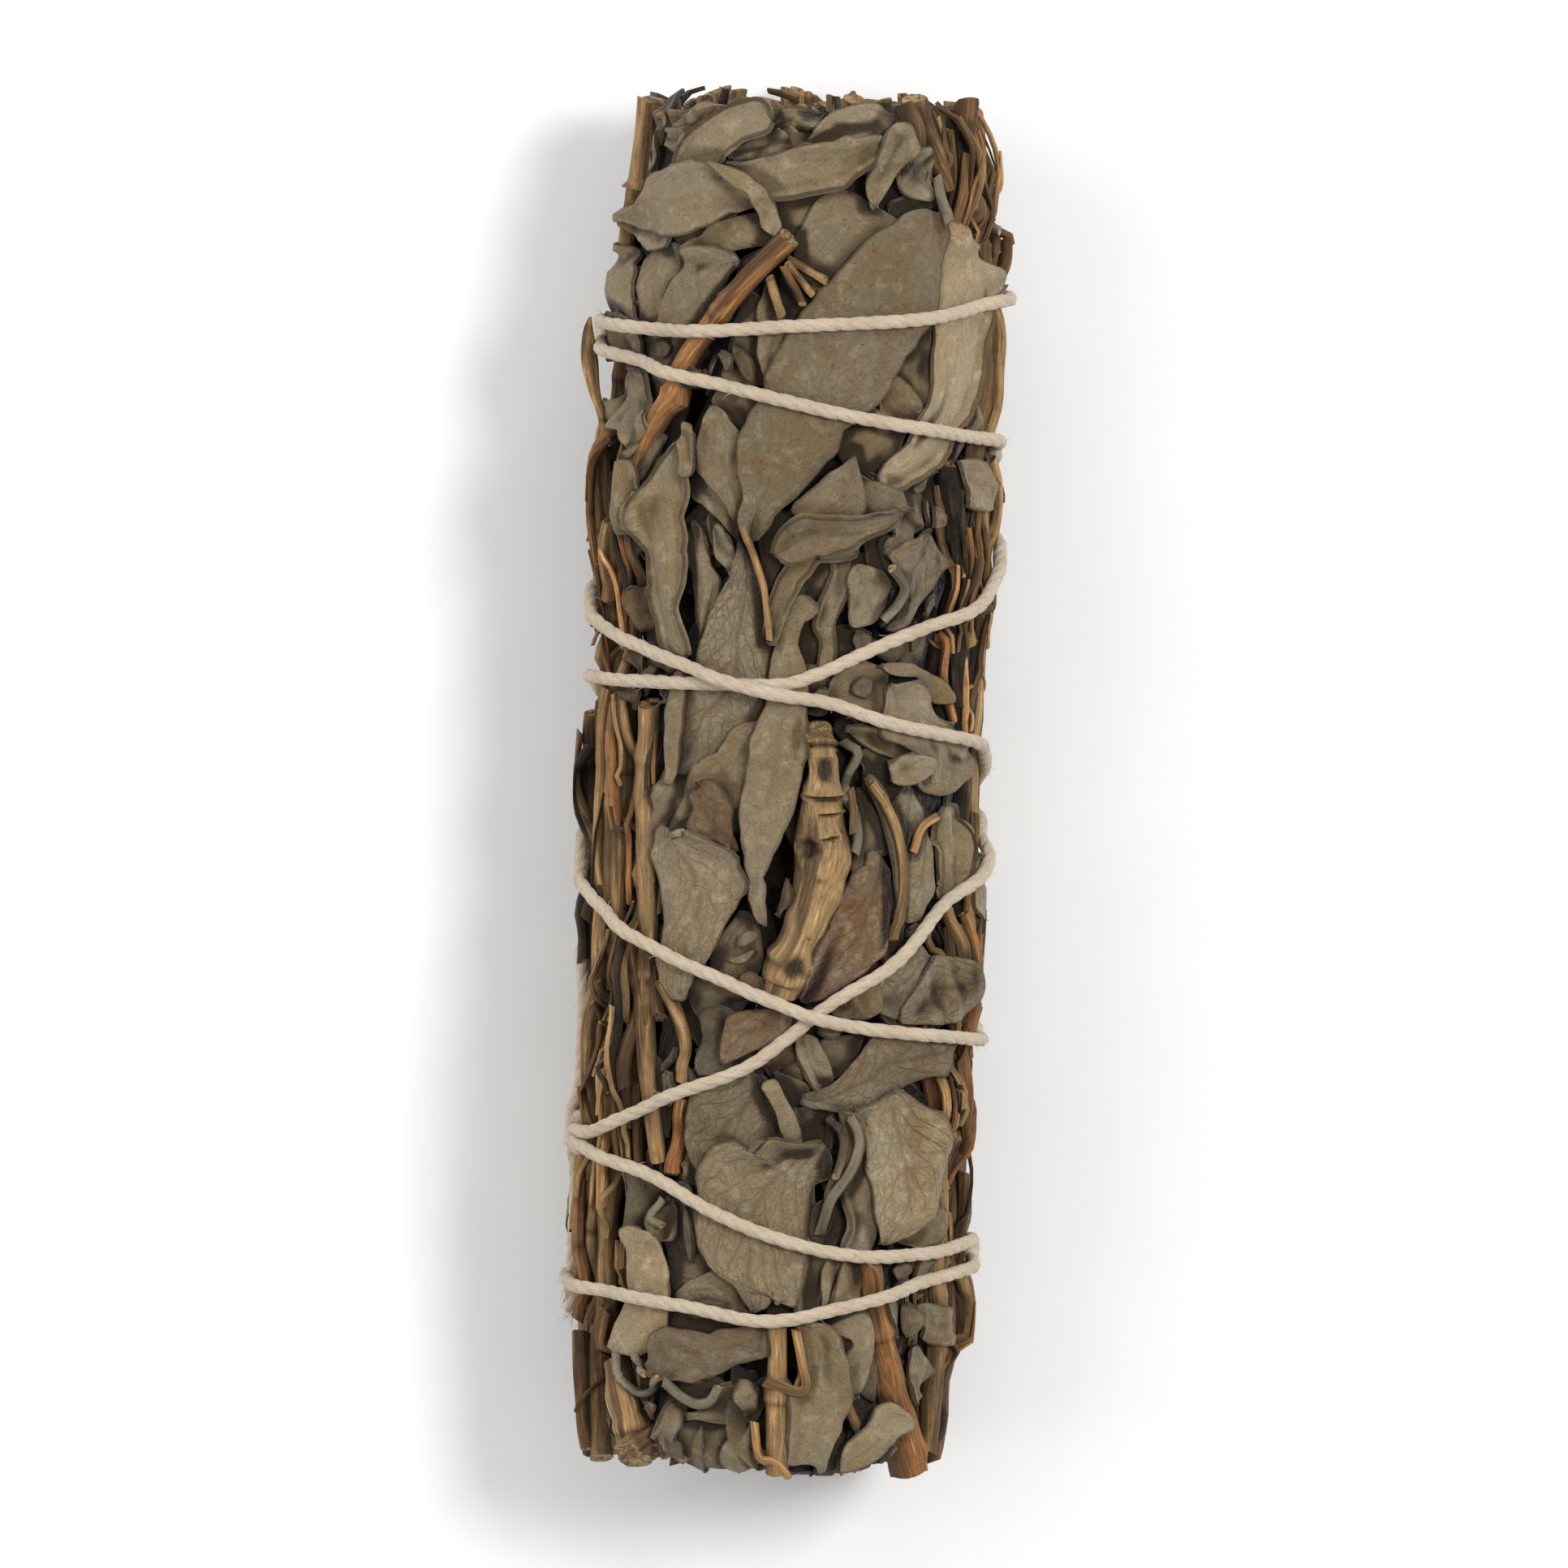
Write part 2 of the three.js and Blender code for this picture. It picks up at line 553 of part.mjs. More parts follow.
// The knot at the side where the two ends of the twine are tied.
function makeKnot(grow = 0) {
  const knot = new THREE.SphereGeometry(1.25 + grow, 8, 6);
  knot.scale(0.8, 1.25, 1);
  const centre = place(-87 * degree, -29, twineRise + 0.4);
  knot.translate(centre.x, centre.y, centre.z);
  return knot;
}

function makeTwine(grow = 0) {
  const routes = [twineUp, twineDown, twineLow, twineEnd];
  const tubes = routes.map((route) => toSolid(twineTube(route, twineRadius + grow)));
  return joined([...tubes, toSolid(makeKnot(grow))]);
}

// ---- Assembly ----

const bundle = new THREE.Group();

function addPiece(name, geometry, material) {
  const piece = new THREE.Mesh(geometry, material);
  piece.name = name;
  bundle.add(piece);
}

const hollows = [];
const frontStations = Object.entries(upperStems).map(([name, points]) => [name, makeSeenStations(points)]);
for (const [name, stations] of [...frontStations, ['top_left_stem', topLeftStem]]) {
  addPiece(name, stem(stations), name === 'bark_right_stem' ? barkMaterial : stemMaterial);
  hollows.push(toSolid(stem(stations, clearance)));
}
sideStems.forEach((row, item) => {
  const stations = makeSideStations(row, item);
  const side = row[0] < 0 ? 'left' : 'right';
  addPiece(`${side}_stem_${item + 1}`, stem(stations, 0, 6), item % 3 === 1 ? barkMaterial : stemMaterial);
  hollows.push(toSolid(stem(stations, clearance, 6)));
});
innerStems.forEach((row, item) => {
  addPiece(`inner_stem_${item + 1}`, innerStem(row, item), stemMaterial);
  hollows.push(toSolid(innerStem(row, item, clearance)));
});

const blades = [makeUpperLeaves(), makeHiddenLeaves(), makeRestLeaves(), makeEndFolds()].flat();
const leafSolid = joined([makeCore(), ...blades].map(toSolid));
const ground = new THREE.BoxGeometry(60, 140, 10);
ground.translate(0, 0, -5);
const leafCut = leafSolid.subtract(joined([...hollows, makeTwine(clearance), toSolid(ground)]));
addPiece('leaf_bunch', mainBody(leafCut), leafMaterial);
addPiece('twine', mainBody(makeTwine()), twineMaterial);

const bounds = new THREE.Box3().setFromObject(bundle);
bundle.position.set(-(bounds.min.x + bounds.max.x) / 2, -(bounds.min.y + bounds.max.y) / 2, 0);

export default bundle;
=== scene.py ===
# Dried white sage bundle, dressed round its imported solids.
import math

import bpy
import numpy as np
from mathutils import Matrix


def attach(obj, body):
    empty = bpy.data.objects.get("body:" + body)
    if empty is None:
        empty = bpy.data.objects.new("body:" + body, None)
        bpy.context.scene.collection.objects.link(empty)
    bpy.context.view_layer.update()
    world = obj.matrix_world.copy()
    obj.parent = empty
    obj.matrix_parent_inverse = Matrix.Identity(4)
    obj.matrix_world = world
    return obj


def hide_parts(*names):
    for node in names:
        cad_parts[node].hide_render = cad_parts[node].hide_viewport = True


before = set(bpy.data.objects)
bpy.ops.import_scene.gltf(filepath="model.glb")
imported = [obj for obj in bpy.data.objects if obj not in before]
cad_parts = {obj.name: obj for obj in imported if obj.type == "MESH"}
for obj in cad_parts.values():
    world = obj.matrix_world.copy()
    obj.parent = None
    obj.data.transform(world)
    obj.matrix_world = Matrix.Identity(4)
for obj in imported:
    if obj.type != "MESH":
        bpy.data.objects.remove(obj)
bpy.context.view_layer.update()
mm = 0.001
print("frame loaded:", len(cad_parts), "nodes")

bundle = {
    "halfWidth": 15.2,        # under the twine, in mm
    "halfHeight": 14.9,
    "axisHeight": 15.1,
    "shiftX": 0.257,          # from the bundle's axis to the middle of its box
    "shiftY": 0.013,
    "coreRise": -2.7,         # middle painted dark as shade, under the leaves
    "endDrop": 2.0,           # how far the rim rounds off at the two ends
}


# the bundle's surface, unrolled: u runs round it, v along it, both in mm

def smoothStep(value, low, high):
    share = np.clip((value - low) / (high - low), 0, 1)
    return share * share * (3 - 2 * share)


def columns(*values):
    return np.stack(np.broadcast_arrays(*values), -1)


def fullness(v):
    return 1 - 0.10 * smoothStep(v, 38, 56) - 0.07 * smoothStep(-v, 40, 56)


def endDrop(v):
    return bundle["endDrop"] * np.clip((np.abs(v) - 51.5) / 4.5, 0, 1.3) ** 2


def unrolled(degrees):
    return math.radians(degrees) * bundle["halfWidth"]


def outwardAt(u):
    turn = u / bundle["halfWidth"]
    return columns(np.sin(turn), 0 * turn, np.cos(turn))


def toSpace(u, v, rise):
    angle = u / bundle["halfWidth"]
    full = fullness(v)
    x = (bundle["halfWidth"] * full + rise) * np.sin(angle) + bundle["shiftX"]
    z = (bundle["halfHeight"] * full + rise) * np.cos(angle) + bundle["axisHeight"]
    return columns(x, v + bundle["shiftY"], z) * mm


def seenFrom(x, y):
    # u of a point seen at x from above, on the upper side
    reach = (bundle["halfWidth"] + 0.5) * fullness(np.asarray(y, float))
    return np.arcsin(np.clip(np.asarray(x, float) / reach, -0.998, 0.998)) * bundle["halfWidth"]


def roomBelow(cosine, clear, v):
    # how far out a point may stand before it reaches the surface that the bundle lies on
    return (bundle["axisHeight"] - clear) / np.maximum(-cosine, 0.2) - bundle["halfHeight"] * fullness(v)


# relief: the height already reached all round the bundle, as leaf is laid on leaf

cell = 0.25
around = 2 * math.pi * bundle["halfWidth"]
uCount = int(round(around / cell))
vLow, vHigh = -60, 60
vCount = int((vHigh - vLow) / cell)
relief = np.full((uCount, vCount), bundle["coreRise"])


def readMap(field, u, v):
    fu = (np.asarray(u) / around * uCount) % uCount
    fv = np.clip((np.asarray(v) - vLow) / cell, 0, vCount - 1.001)
    iu, iv = np.floor(fu).astype(int), np.floor(fv).astype(int)
    du, dv = fu - iu, fv - iv
    nextU = (iu + 1) % uCount
    iu = iu % uCount
    low = field[iu, iv] * (1 - dv) + field[iu, iv + 1] * dv
    high = field[nextU, iv] * (1 - dv) + field[nextU, iv + 1] * dv
    return low * (1 - du) + high * du


def stampMap(field, u, v, height):
    iu = np.round(np.ravel(u) / around * uCount).astype(int)
    iv = np.round((np.ravel(v) - vLow) / cell).astype(int)
    keep = (iv > 0) & (iv < vCount - 1)
    iu, iv, height = iu[keep], iv[keep], np.ravel(height)[keep]
    for du in (-1, 0, 1):
        for dv in (-1, 0, 1):
            np.maximum.at(field, ((iu + du) % uCount, iv + dv), height)


def blurMap(field, times):
    for _ in range(times):
        field = (np.roll(field, 1, 0) + np.roll(field, -1, 0) + 2 * field) / 4
        side = np.pad(field, ((0, 0), (1, 1)), mode="edge")
        field = (side[:, :-2] + side[:, 2:] + 2 * field) / 4
    return field


def highestAround(field):
    for axis in (0, 1):
        field = np.max([np.roll(field, shift, axis) for shift in (-2, -1, 0, 1, 2)], axis=0)
    return field


def finer(grid, times):
    # the same grid with more rows and columns, by straight interpolation
    rows = np.linspace(0, grid.shape[0] - 1, (grid.shape[0] - 1) * times + 1)
    cols = np.linspace(0, grid.shape[1] - 1, (grid.shape[1] - 1) * times + 1)
    half = np.array([np.interp(rows, range(grid.shape[0]), column) for column in grid.T]).T
    return np.array([np.interp(cols, range(grid.shape[1]), row) for row in half])


def softNoise(rng, shape, knots):
    # smooth random relief, about -1 to 1
    coarse = rng.normal(0, 0.6, knots)

    def ease(axis):
        place = np.linspace(0, knots[axis] - 1.001, shape[axis])
        low = np.floor(place).astype(int)
        share = place - low
        return low, share * share * (3 - 2 * share)

    rows, rowShare = ease(0)
    cols, colShare = ease(1)
    rowShare = rowShare[:, None]
    low = coarse[rows][:, cols] * (1 - rowShare) + coarse[rows + 1][:, cols] * rowShare
    high = coarse[rows][:, cols + 1] * (1 - rowShare) + coarse[rows + 1][:, cols + 1] * rowShare
    return low * (1 - colShare) + high * colShare


def curveThrough(points, count):
    # Catmull-Rom through the points, evenly spaced, and its length
    points = np.array(points, float)
    padded = np.vstack([2 * points[0] - points[1], points, 2 * points[-1] - points[-2]])
    share = np.linspace(0, 1, 24, endpoint=False)[:, None]
    fine = []
    for item in range(len(points) - 1):
        p0, p1, p2, p3 = padded[item:item + 4]
        fine.append(0.5 * (2 * p1 + (p2 - p0) * share + (2 * p0 - 5 * p1 + 4 * p2 - p3) * share ** 2
                           + (3 * p1 - p0 - 3 * p2 + p3) * share ** 3))
    fine = np.vstack(fine + [points[-1:]])
    travel = travelled(fine[:, :2])
    return sampled(fine, travel, np.linspace(0, travel[-1], count)), travel[-1]


def travelled(path):
    return np.concatenate([[0], np.cumsum(np.linalg.norm(np.diff(path, axis=0), axis=1))])


def sampled(values, places, at):
    return np.array([np.interp(at, places, column) for column in values.T]).T


def smoothLine(values, reach):
    kernel = np.hanning(2 * reach + 3)[1:-1]
    wide = np.pad(values, reach, mode="edge")
    return np.convolve(wide, kernel / kernel.sum(), mode="valid")


# leaves

leafSizes = {                 # faces across and along
    "broad": (32, 58),
    "large": (24, 42),
    "middle": (14, 26),
    "plain": (10, 18),
    "small": (8, 16),
    "tiny": (6, 10),
}
leafAreas = {"broad": 150, "large": 34, "middle": 7, "small": 0}     # least area for a size, in mm2
leafThickness = 0.34
overlap = 0.28                # how far a leaf runs under or over its neighbours
leafOutline = np.array([[0, 0.10], [0.06, 0.30], [0.18, 0.66], [0.36, 0.94], [0.52, 1], [0.7, 0.9],
                        [0.84, 0.66], [0.94, 0.36], [1, 0.06]])
blunt = np.array([[0, 0.45], [0.1, 0.75], [0.3, 0.96], [0.6, 1], [0.85, 0.86], [0.95, 0.62], [1, 0.3]])
layerRise = [-1.35, -0.75, -0.15, 0.4]

leafStyles = {
    "flat": {"cup": -0.25, "crumple": 0.16, "vein": 0.35},
    "veined": {"cup": -0.15, "crumple": 0.14, "vein": 1.0},
    "cupped": {"cup": 0.7, "crumple": 0.18, "vein": 0.4},
    "rolled": {"cup": -0.9, "crumple": 0.18, "vein": 0.2, "rollLeft": 0.34, "rollRight": 0.34},
    "rimLeft": {"cup": -0.2, "crumple": 0.16, "vein": 0.3, "rollLeft": 0.34},
    "rimRight": {"cup": -0.2, "crumple": 0.16, "vein": 0.3, "rollRight": 0.34},
    "crumpled": {"cup": 0.2, "crumple": 0.55, "vein": 0.5},
    "folded": {"cup": 0.0, "crumple": 0.15, "vein": 0.3, "fold": 0.8},
    "strip": {"cup": -0.5, "crumple": 0.1, "vein": 0.1, "outline": blunt},
    "blunt": {"cup": -0.3, "crumple": 0.2, "vein": 0.5, "outline": blunt},
    "smooth": {"cup": -0.25, "crumple": 0.12, "vein": 0.3},
    "torn": {"cup": -0.2, "crumple": 0.2, "vein": 0.8},
}

laidLeaves = []


def leafGrid(size):
    # faces along, with t from stalk to tip and s from side to side
    across, along = leafSizes[size]
    return along, np.linspace(0, 1, along + 1)[:, None], np.linspace(-1, 1, across + 1)[None, :]


def rolledIn(look, s, half, start):
    # share of the half-width and rise of a rim that curls up, where the style has one
    reach, rise = s + 0 * half, 0 * s * half
    for name, sign in (("rollLeft", -1), ("rollRight", 1)):
        if name in look:
            beyond = np.clip(s * sign - start, 0, 1)
            turn = beyond / (1 - start) * 2.5
            radius = np.minimum(look[name], half * 0.3)
            reach = reach - sign * np.where(turn > 0, beyond - radius / half * np.sin(turn), 0)
            rise = rise + np.where(turn > 0, radius * (1 - np.cos(turn)), 0)
    return reach, rise


def ownHeight(rng, look, rise, s, half, rolled):
    # a leaf's own relief: cupped, crumpled and folded as its style says
    rows, cols = rolled.shape
    own = rise + look["cup"] * (s ** 2) * np.minimum(half / 2.5, 1) + rolled
    fine = np.abs(softNoise(rng, (rows, cols), ((rows - 1) // 3, (cols - 1) // 2)))
    broad = softNoise(rng, (rows, cols), (7, 5))
    own = own + look["crumple"] * (broad - 0.6 * fine)
    return own + look.get("fold", 0) * (0.6 - np.abs(s))


def drapeLeaf(group, size, u, v, own, hug, tone, brown, vein):
    # settles a leaf on what is already laid; its rim is drawn down towards it by hug, 0 to 1
    under = readMap(relief, u, v) + leafThickness + 0.04
    own = own - hug * np.clip(own - under, 0, 1.1)
    height = np.maximum(own, under)
    for _ in range(7):
        wide = np.pad(height, 1, mode="edge")
        mean = (wide[:-2, 1:-1] + wide[2:, 1:-1] + wide[1:-1, :-2] + wide[1:-1, 2:]) / 4
        height = np.maximum(np.maximum(own, mean), under)
    stampMap(relief, finer(u, 3), finer(v, 3), finer(height, 3))
    laidLeaves.append({"group": group, "size": size, "u": u, "v": v, "height": height, "tone": tone,
                       "brown": brown, "vein": vein, "number": len(laidLeaves)})


def layLeaf(group, start, end, width, rise, bend, style, tone, brown, seed, size):
    # start and end are (u, v) of the stalk end and the tip
    look = leafStyles[style]
    rng = np.random.default_rng(seed)
    length = np.linalg.norm(end - start)
    along, t, s = leafGrid(size)
    direction = (end - start) / max(length, 0.01)
    aside = np.array([direction[1], -direction[0]])
    outline = look.get("outline", leafOutline)
    half = np.interp(t[:, 0], outline[:, 0], outline[:, 1])[:, None] * width / 2
    bow = bend * np.sin(np.pi * t) + softNoise(rng, (along + 1, 2), (5, 2))[:, :1] * 0.05 * width
    edge = 1 + 0.07 * softNoise(rng, (along + 1, 2), (9, 2))
    reach, rolled = rolledIn(look, s, half, 0.66)
    reach = reach * half * np.where(s < 0, edge[:, :1], edge[:, 1:])
    own = ownHeight(rng, look, rise, s, half, rolled)
    u = start[0] + direction[0] * length * t + aside[0] * (bow + reach)
    v = start[1] + direction[1] * length * t + aside[1] * (bow + reach)
    drapeLeaf(group, size, u, v, own, smoothStep(np.abs(s), 0.6, 1) + 0 * t, tone, brown, look["vein"])


def edgeThrough(points, count, smooth):
    # evenly spaced points along a smooth edge, just short of its two ends
    if smooth and len(points) > 2:
        points = curveThrough(points, 40)[0]
    travel = travelled(points)
    return sampled(points, travel, travel[-1] * np.linspace(0.015, 0.985, count))


def layShaped(group, outline, rise, style, tone, brown, seed):
    # a leaf of a given outline, seen from above as x, y, x, y and so on
    look = leafStyles[style]
    rng = np.random.default_rng(seed)
    corners = np.array(outline, float).reshape(-1, 2)
    corners[:, 0] = seenFrom(corners[:, 0], corners[:, 1])
    middle = (corners.max(0) + corners.min(0)) / 2
    corners = corners + overlap * (corners - middle) / np.linalg.norm(corners - middle, axis=1)[:, None]
    gaps = np.linalg.norm(corners[:, None] - corners[None, :], axis=2)
    start, end = sorted(np.unravel_index(np.argmax(gaps), gaps.shape))
    length = gaps[start, end]
    oneSide = corners[start:end + 1]
    otherSide = np.vstack([corners[end:], corners[:start + 1]])[::-1]
    direction = (corners[end] - corners[start]) / length
    aside = np.array([direction[1], -direction[0]])
    if np.mean((oneSide - corners[start]) @ aside) > np.mean((otherSide - corners[start]) @ aside):
        oneSide, otherSide = otherSide, oneSide
    width = ((otherSide - corners[start]) @ aside).max() - ((oneSide - corners[start]) @ aside).min()
    size = next(size for size, least in leafAreas.items() if length * width > least)
    along, t, s = leafGrid(size)
    smooth = style != "torn"
    left, right = edgeThrough(oneSide, along + 1, smooth), edgeThrough(otherSide, along + 1, smooth)
    ragged = 0.09 * softNoise(rng, (along + 1, 2), (max(4, int(length / 0.9)), 2))
    span = right - left
    half = np.maximum(np.linalg.norm(span, axis=1)[:, None] / 2, 0.1)
    reach, rolled = rolledIn(look, s, half, 0.84)
    share = (reach + 1) / 2 + ragged[:, :1] * np.where(s < 0, 1, -1) * np.abs(s) ** 3 / half
    u = left[:, :1] + span[:, :1] * share
    v = left[:, 1:] + span[:, 1:] * share
    own = ownHeight(rng, look, rise, s, half, rolled)
    rim = 0.8 * np.maximum(smoothStep(np.abs(s), 0.8, 1), smoothStep(np.abs(2 * t - 1), 0.9, 1))
    if "rollLeft" in look:
        rim = rim * (s > 0)
    if "rollRight" in look:
        rim = rim * (s < 0)
    drapeLeaf(group, size, u, v, own, rim, tone, brown, look["vein"])


# Upper side: layer, style, tone, brownness and outline as x, y, x, y and so on, seen from above
upperLeaves = [
    (1, "crumpled", 0.95, 0.05, [-12.6, 52.7, -11.8, 53.7, -11, 54.2, -10, 54.6, -9, 54.2, -8.5, 53.5,
     -9.2, 52.9, -10.3, 52.5, -11.7, 52.2]),
    (1, "crumpled", 1, 0.12, [-13, 51.3, -12.7, 52.3, -11, 52.6, -9.4, 52.8, -10, 52, -10.6, 50.8,
     -12.2, 50.7]),
    (3, "rolled", 1.08, 0, [-10.9, 49.3, -10.6, 50.3, -10, 51.7, -8.7, 53, -7.5, 54.1, -5.9, 54.8, -5.1, 55,
     -4.3, 54.6, -3.7, 53.5, -4, 52.8, -5.9, 52.1, -7.3, 50.7, -8.7, 50, -9.9, 49.7]),
    (1, "crumpled", 1, 0.05, [-3.5, 53, -3.1, 54, -2, 54.4, -0.3, 54.4, 1.1, 54.4, 0.6, 53.5, -0.1, 52.9,
     -1.7, 52.9, -2.9, 52.8]),
    (2, "rimRight", 1.08, 0, [-0.3, 52, 0.6, 53.4, 1.8, 54.2, 3.9, 54.9, 5.5, 55.3, 6.7, 54.8, 6.7, 54,
     5.5, 52.9, 3.9, 52.5, 2, 51.9, 0.6, 51.6]),
    (2, "crumpled", 1.02, 0, [-6.8, 50.6, -5, 51.9, -3.1, 52.6, -1.5, 52.1, 0.4, 51.8, -1.7, 51.2, -4, 50.5,
     -5.9, 50.1]),
    (1, "flat", 0.85, 0.15, [-8, 50, -6.8, 50.7, -5, 51.8, -4, 51.4, -5, 50, -6.8, 49.8]),
    (3, "rimRight", 1.03, 0, [-6.8, 49.9, -5, 50.2, -3.1, 50.7, -0.8, 51.4, 1.5, 52, 3.6, 52.5, 5.5, 52.6,
     5.7, 51.7, 4.8, 50.7, 3.9, 50, 2.7, 49.1, 1.8, 48.6, 0.6, 48.4, -0.8, 48, -2.2, 47.7, -3.1, 47.6,
     -4, 47.7, -5, 48.5, -5.9, 49.2]),
    (2, "flat", 1, 0, [-3.1, 47.5, -1.3, 47.7, 0.6, 48.3, 1.8, 48.6, 2.1, 48.3, 1.1, 47.2, 0.1, 45.8,
     -1, 44.4, -2.4, 44.7, -2.9, 46.1]),
    (3, "cupped", 1.02, 0, [6, 52.6, 6.7, 53.5, 7.6, 53.5, 7.8, 52.1, 7.6, 51, 6.7, 49.6, 6.2, 48.2,
     5.5, 47.1, 4.8, 47.7, 4.6, 48.9, 5, 50, 5.5, 51.4]),
    (2, "crumpled", 1.05, 0.1, [7.8, 51.2, 8.5, 51.5, 9.7, 51.4, 10, 50.7, 9.9, 50, 9.7, 49.3, 10.4, 48.4,
     9.9, 47.7, 8.5, 48, 7.6, 48.9, 7.7, 50]),
    (1, "crumpled", 1, 0.1, [7.1, 47.2, 8.5, 47.8, 10.4, 47.7, 11, 47, 10.3, 45.6, 8.7, 45.4, 7.3, 45.8]),
    (3, "folded", 1.06, 0, [-15.2, 45, -14.5, 46.1, -13.6, 47.2, -13.3, 48.6, -12.4, 49, -10.8, 49.4,
     -9.2, 49.9, -8, 49.9, -6.8, 49.1, -5.4, 48.2, -4.3, 47.1, -5, 46.4, -6.1, 46.3, -7.3, 45.8, -8.2, 45.1,
     -9.4, 44.7, -11, 44.3, -12.7, 44.3, -14, 44.6]),
    (3, "strip", 1.12, 0, [-8, 50, -6.4, 49.6, -4.5, 48.6, -3.2, 47.2, -2.5, 45.8, -2.5, 44.9, -3.1, 44.6,
     -4, 45.1, -4.3, 46.5, -5, 47.5, -6.4, 48.6]),
    (2, "strip", 1.1, 0, [-15.2, 45.1, -14.9, 44, -14.3, 43.3, -13.3, 42.9, -12, 43.2, -11.3, 43.7,
     -12.7, 44.1, -14, 44.4]),
    (2, "flat", 1.05, 0, [-10.3, 43, -8.7, 44.2, -7.3, 45.1, -5.7, 45.8, -4.3, 46, -3.6, 44.9, -2.7, 44.7,
     -3.1, 43.6, -5, 43.4, -6.8, 43.1, -8.7, 42.8]),
    (1, "rimLeft", 1, 0, [-14, 42.1, -13.1, 42.8, -11, 43, -10, 42.6, -10.6, 41.4, -11.5, 40.3, -12.2, 38,
     -13, 36.5, -14.2, 36.5, -13.5, 38, -13.8, 39.8]),
    (2, "flat", 0.88, 0, [-9.9, 42.9, -8, 43, -6.4, 42.6, -5.9, 41.9, -6.6, 41, -7.3, 39.8, -8, 38,
     -8.7, 36.1, -12.7, 36.1, -12, 38, -11.3, 39.8, -10.3, 41, -10, 41.9]),
    (1, "flat", 1.1, 0, [-16, 42.7, -15, 42.3, -14.4, 41, -14.2, 39.8, -14, 38, -13.8, 36.1, -16, 36.1]),
    (1, "flat", 0.95, 0.1, [-7.1, 37.7, -6.4, 39.8, -5.9, 41.9, -4.3, 43, -3.1, 43, -4, 40.7, -5, 37.7]),
    (2, "flat", 0.92, 0.08, [-0.9, 44, -0.3, 45.1, 0.6, 46.8, 2, 48, 2.7, 48, 4.3, 47.5, 5.7, 46.8,
     7.3, 45.8, 6.4, 44.9, 5, 44, 3.9, 42.8, 2.7, 41.7, 1.8, 40.3, 0.1, 40.7, -1, 42.1]),
    (1, "flat", 0.95, 0.1, [-2, 40.7, -1.3, 39.8, -0.1, 39, 0.8, 39.3, -1.3, 37.2, -2.2, 37.2]),
    (3, "smooth", 0.8, 0.3, [-4.1, 19.9, -4.4, 21.3, -4.1, 22.7, -4.3, 24.1, -4.9, 26, -5, 27.9, -4.7, 29,
     -3.6, 30.6, -3.1, 32.3, -2.6, 33.7, -1.7, 35.5, -0.8, 37.3, 0.4, 38.9, 2.2, 41, 3.7, 42.6, 5.3, 44.3,
     6.7, 45.3, 7.6, 46.1, 9, 46.6, 10.2, 46.6, 10.9, 45.8, 11.1, 44, 10.9, 41.9, 10.7, 40, 10.9, 38.4,
     9.9, 36.9, 9.2, 36, 7.6, 33.7, 6.7, 32, 5.3, 30.6, 3.6, 29, 2.9, 27.4, 1.7, 25.7, 0.2, 23.9,
     -1.3, 22.7, -2.6, 21.3, -3.4, 19.9]),
    (2, "rimLeft", 1.6, 0.04, [11.1, 45.7, 12, 45.4, 13.2, 44.5, 14.3, 43.3, 15.2, 41.9, 15.6, 40.7,
     15.2, 39.3, 15.3, 37.6, 14.9, 35.5, 14.8, 33, 13.9, 29.7, 12.6, 27.9, 11.3, 26.4, 9.9, 25.5, 8.7, 25,
     7.6, 24.8, 6.4, 25.2, 7.6, 26.7, 9, 28, 9.8, 30.4, 10.4, 32.2, 11, 34.3, 11.2, 36.7, 11, 38.6,
     10.8, 40.7, 11, 43]),
    (1, "flat", 0.88, 0.1, [8.5, 38, 11, 38, 11.2, 34, 10.2, 31, 9.3, 29.5, 7, 30, 6.5, 32, 7.3, 34]),
    (1, "crumpled", 0.95, 0.3, [7.1, 32.5, 8, 33.2, 9, 31.8, 9.9, 30.2, 8.8, 30, 7.4, 30.2, 6.8, 31]),
    (1, "flat", 0.97, 0.08, [4.6, 30.6, 8.9, 29.6, 8.8, 28.2, 8.3, 27.1, 7.4, 26, 6.6, 25.5, 5.3, 26.1,
     4.1, 26.4, 3.4, 27.4, 3.8, 28.9]),
    (2, "cupped", 0.97, 0.1, [-3.9, 38.5, -3.3, 40.6, -2.6, 40.3, -2, 38.3, -1.6, 36.8, -2, 35.1,
     -2.7, 33.3, -3.3, 33.4, -3.7, 35, -3.9, 36.8]),
    (1, "flat", 0.9, 0.1, [-5.2, 39.7, -4, 38.8, -3.6, 36.3, -3.5, 34, -3.2, 32.6, -5, 32.6, -7, 33,
     -6.6, 35.3, -5.8, 37.8]),
    (1, "flat", 0.98, 0.05, [-14, 35, -12, 36, -9, 36.4, -9.3, 34, -9.8, 32.8, -12, 32.8, -14, 33.6]),
    (1, "flat", 1, 0.05, [-15.6, 37, -14, 36.6, -14, 34, -15.4, 34]),
    (2, "rimLeft", 1.05, 0, [-14.8, 32.8, -13.5, 32.3, -12.8, 31, -12, 29.2, -11.9, 28.2, -12.6, 27.2,
     -13, 26.2, -13.9, 28, -14.9, 28.6, -15.1, 30.5]),
    (1, "flat", 1.05, 0, [-13.4, 32.9, -11, 32.8, -11, 31.3, -11.7, 29.7, -12.1, 28.8, -12.9, 30.4]),
    (1, "flat", 1, 0.1, [-13.4, 25.4, -12.6, 25.3, -12.5, 22.5, -12.9, 20, -13.4, 20.5]),
    (3, "rolled", 1.1, 0, [-9.8, 27.2, -9.5, 26, -9.6, 25, -9.3, 23.2, -9.5, 22, -9.8, 21.2, -9.5, 19.8,
     -9.4, 18.2, -9.4, 16.5, -9.8, 14.7, -9.4, 13, -8.8, 11.5, -8.7, 10.4, -10.3, 10.6, -10.7, 12,
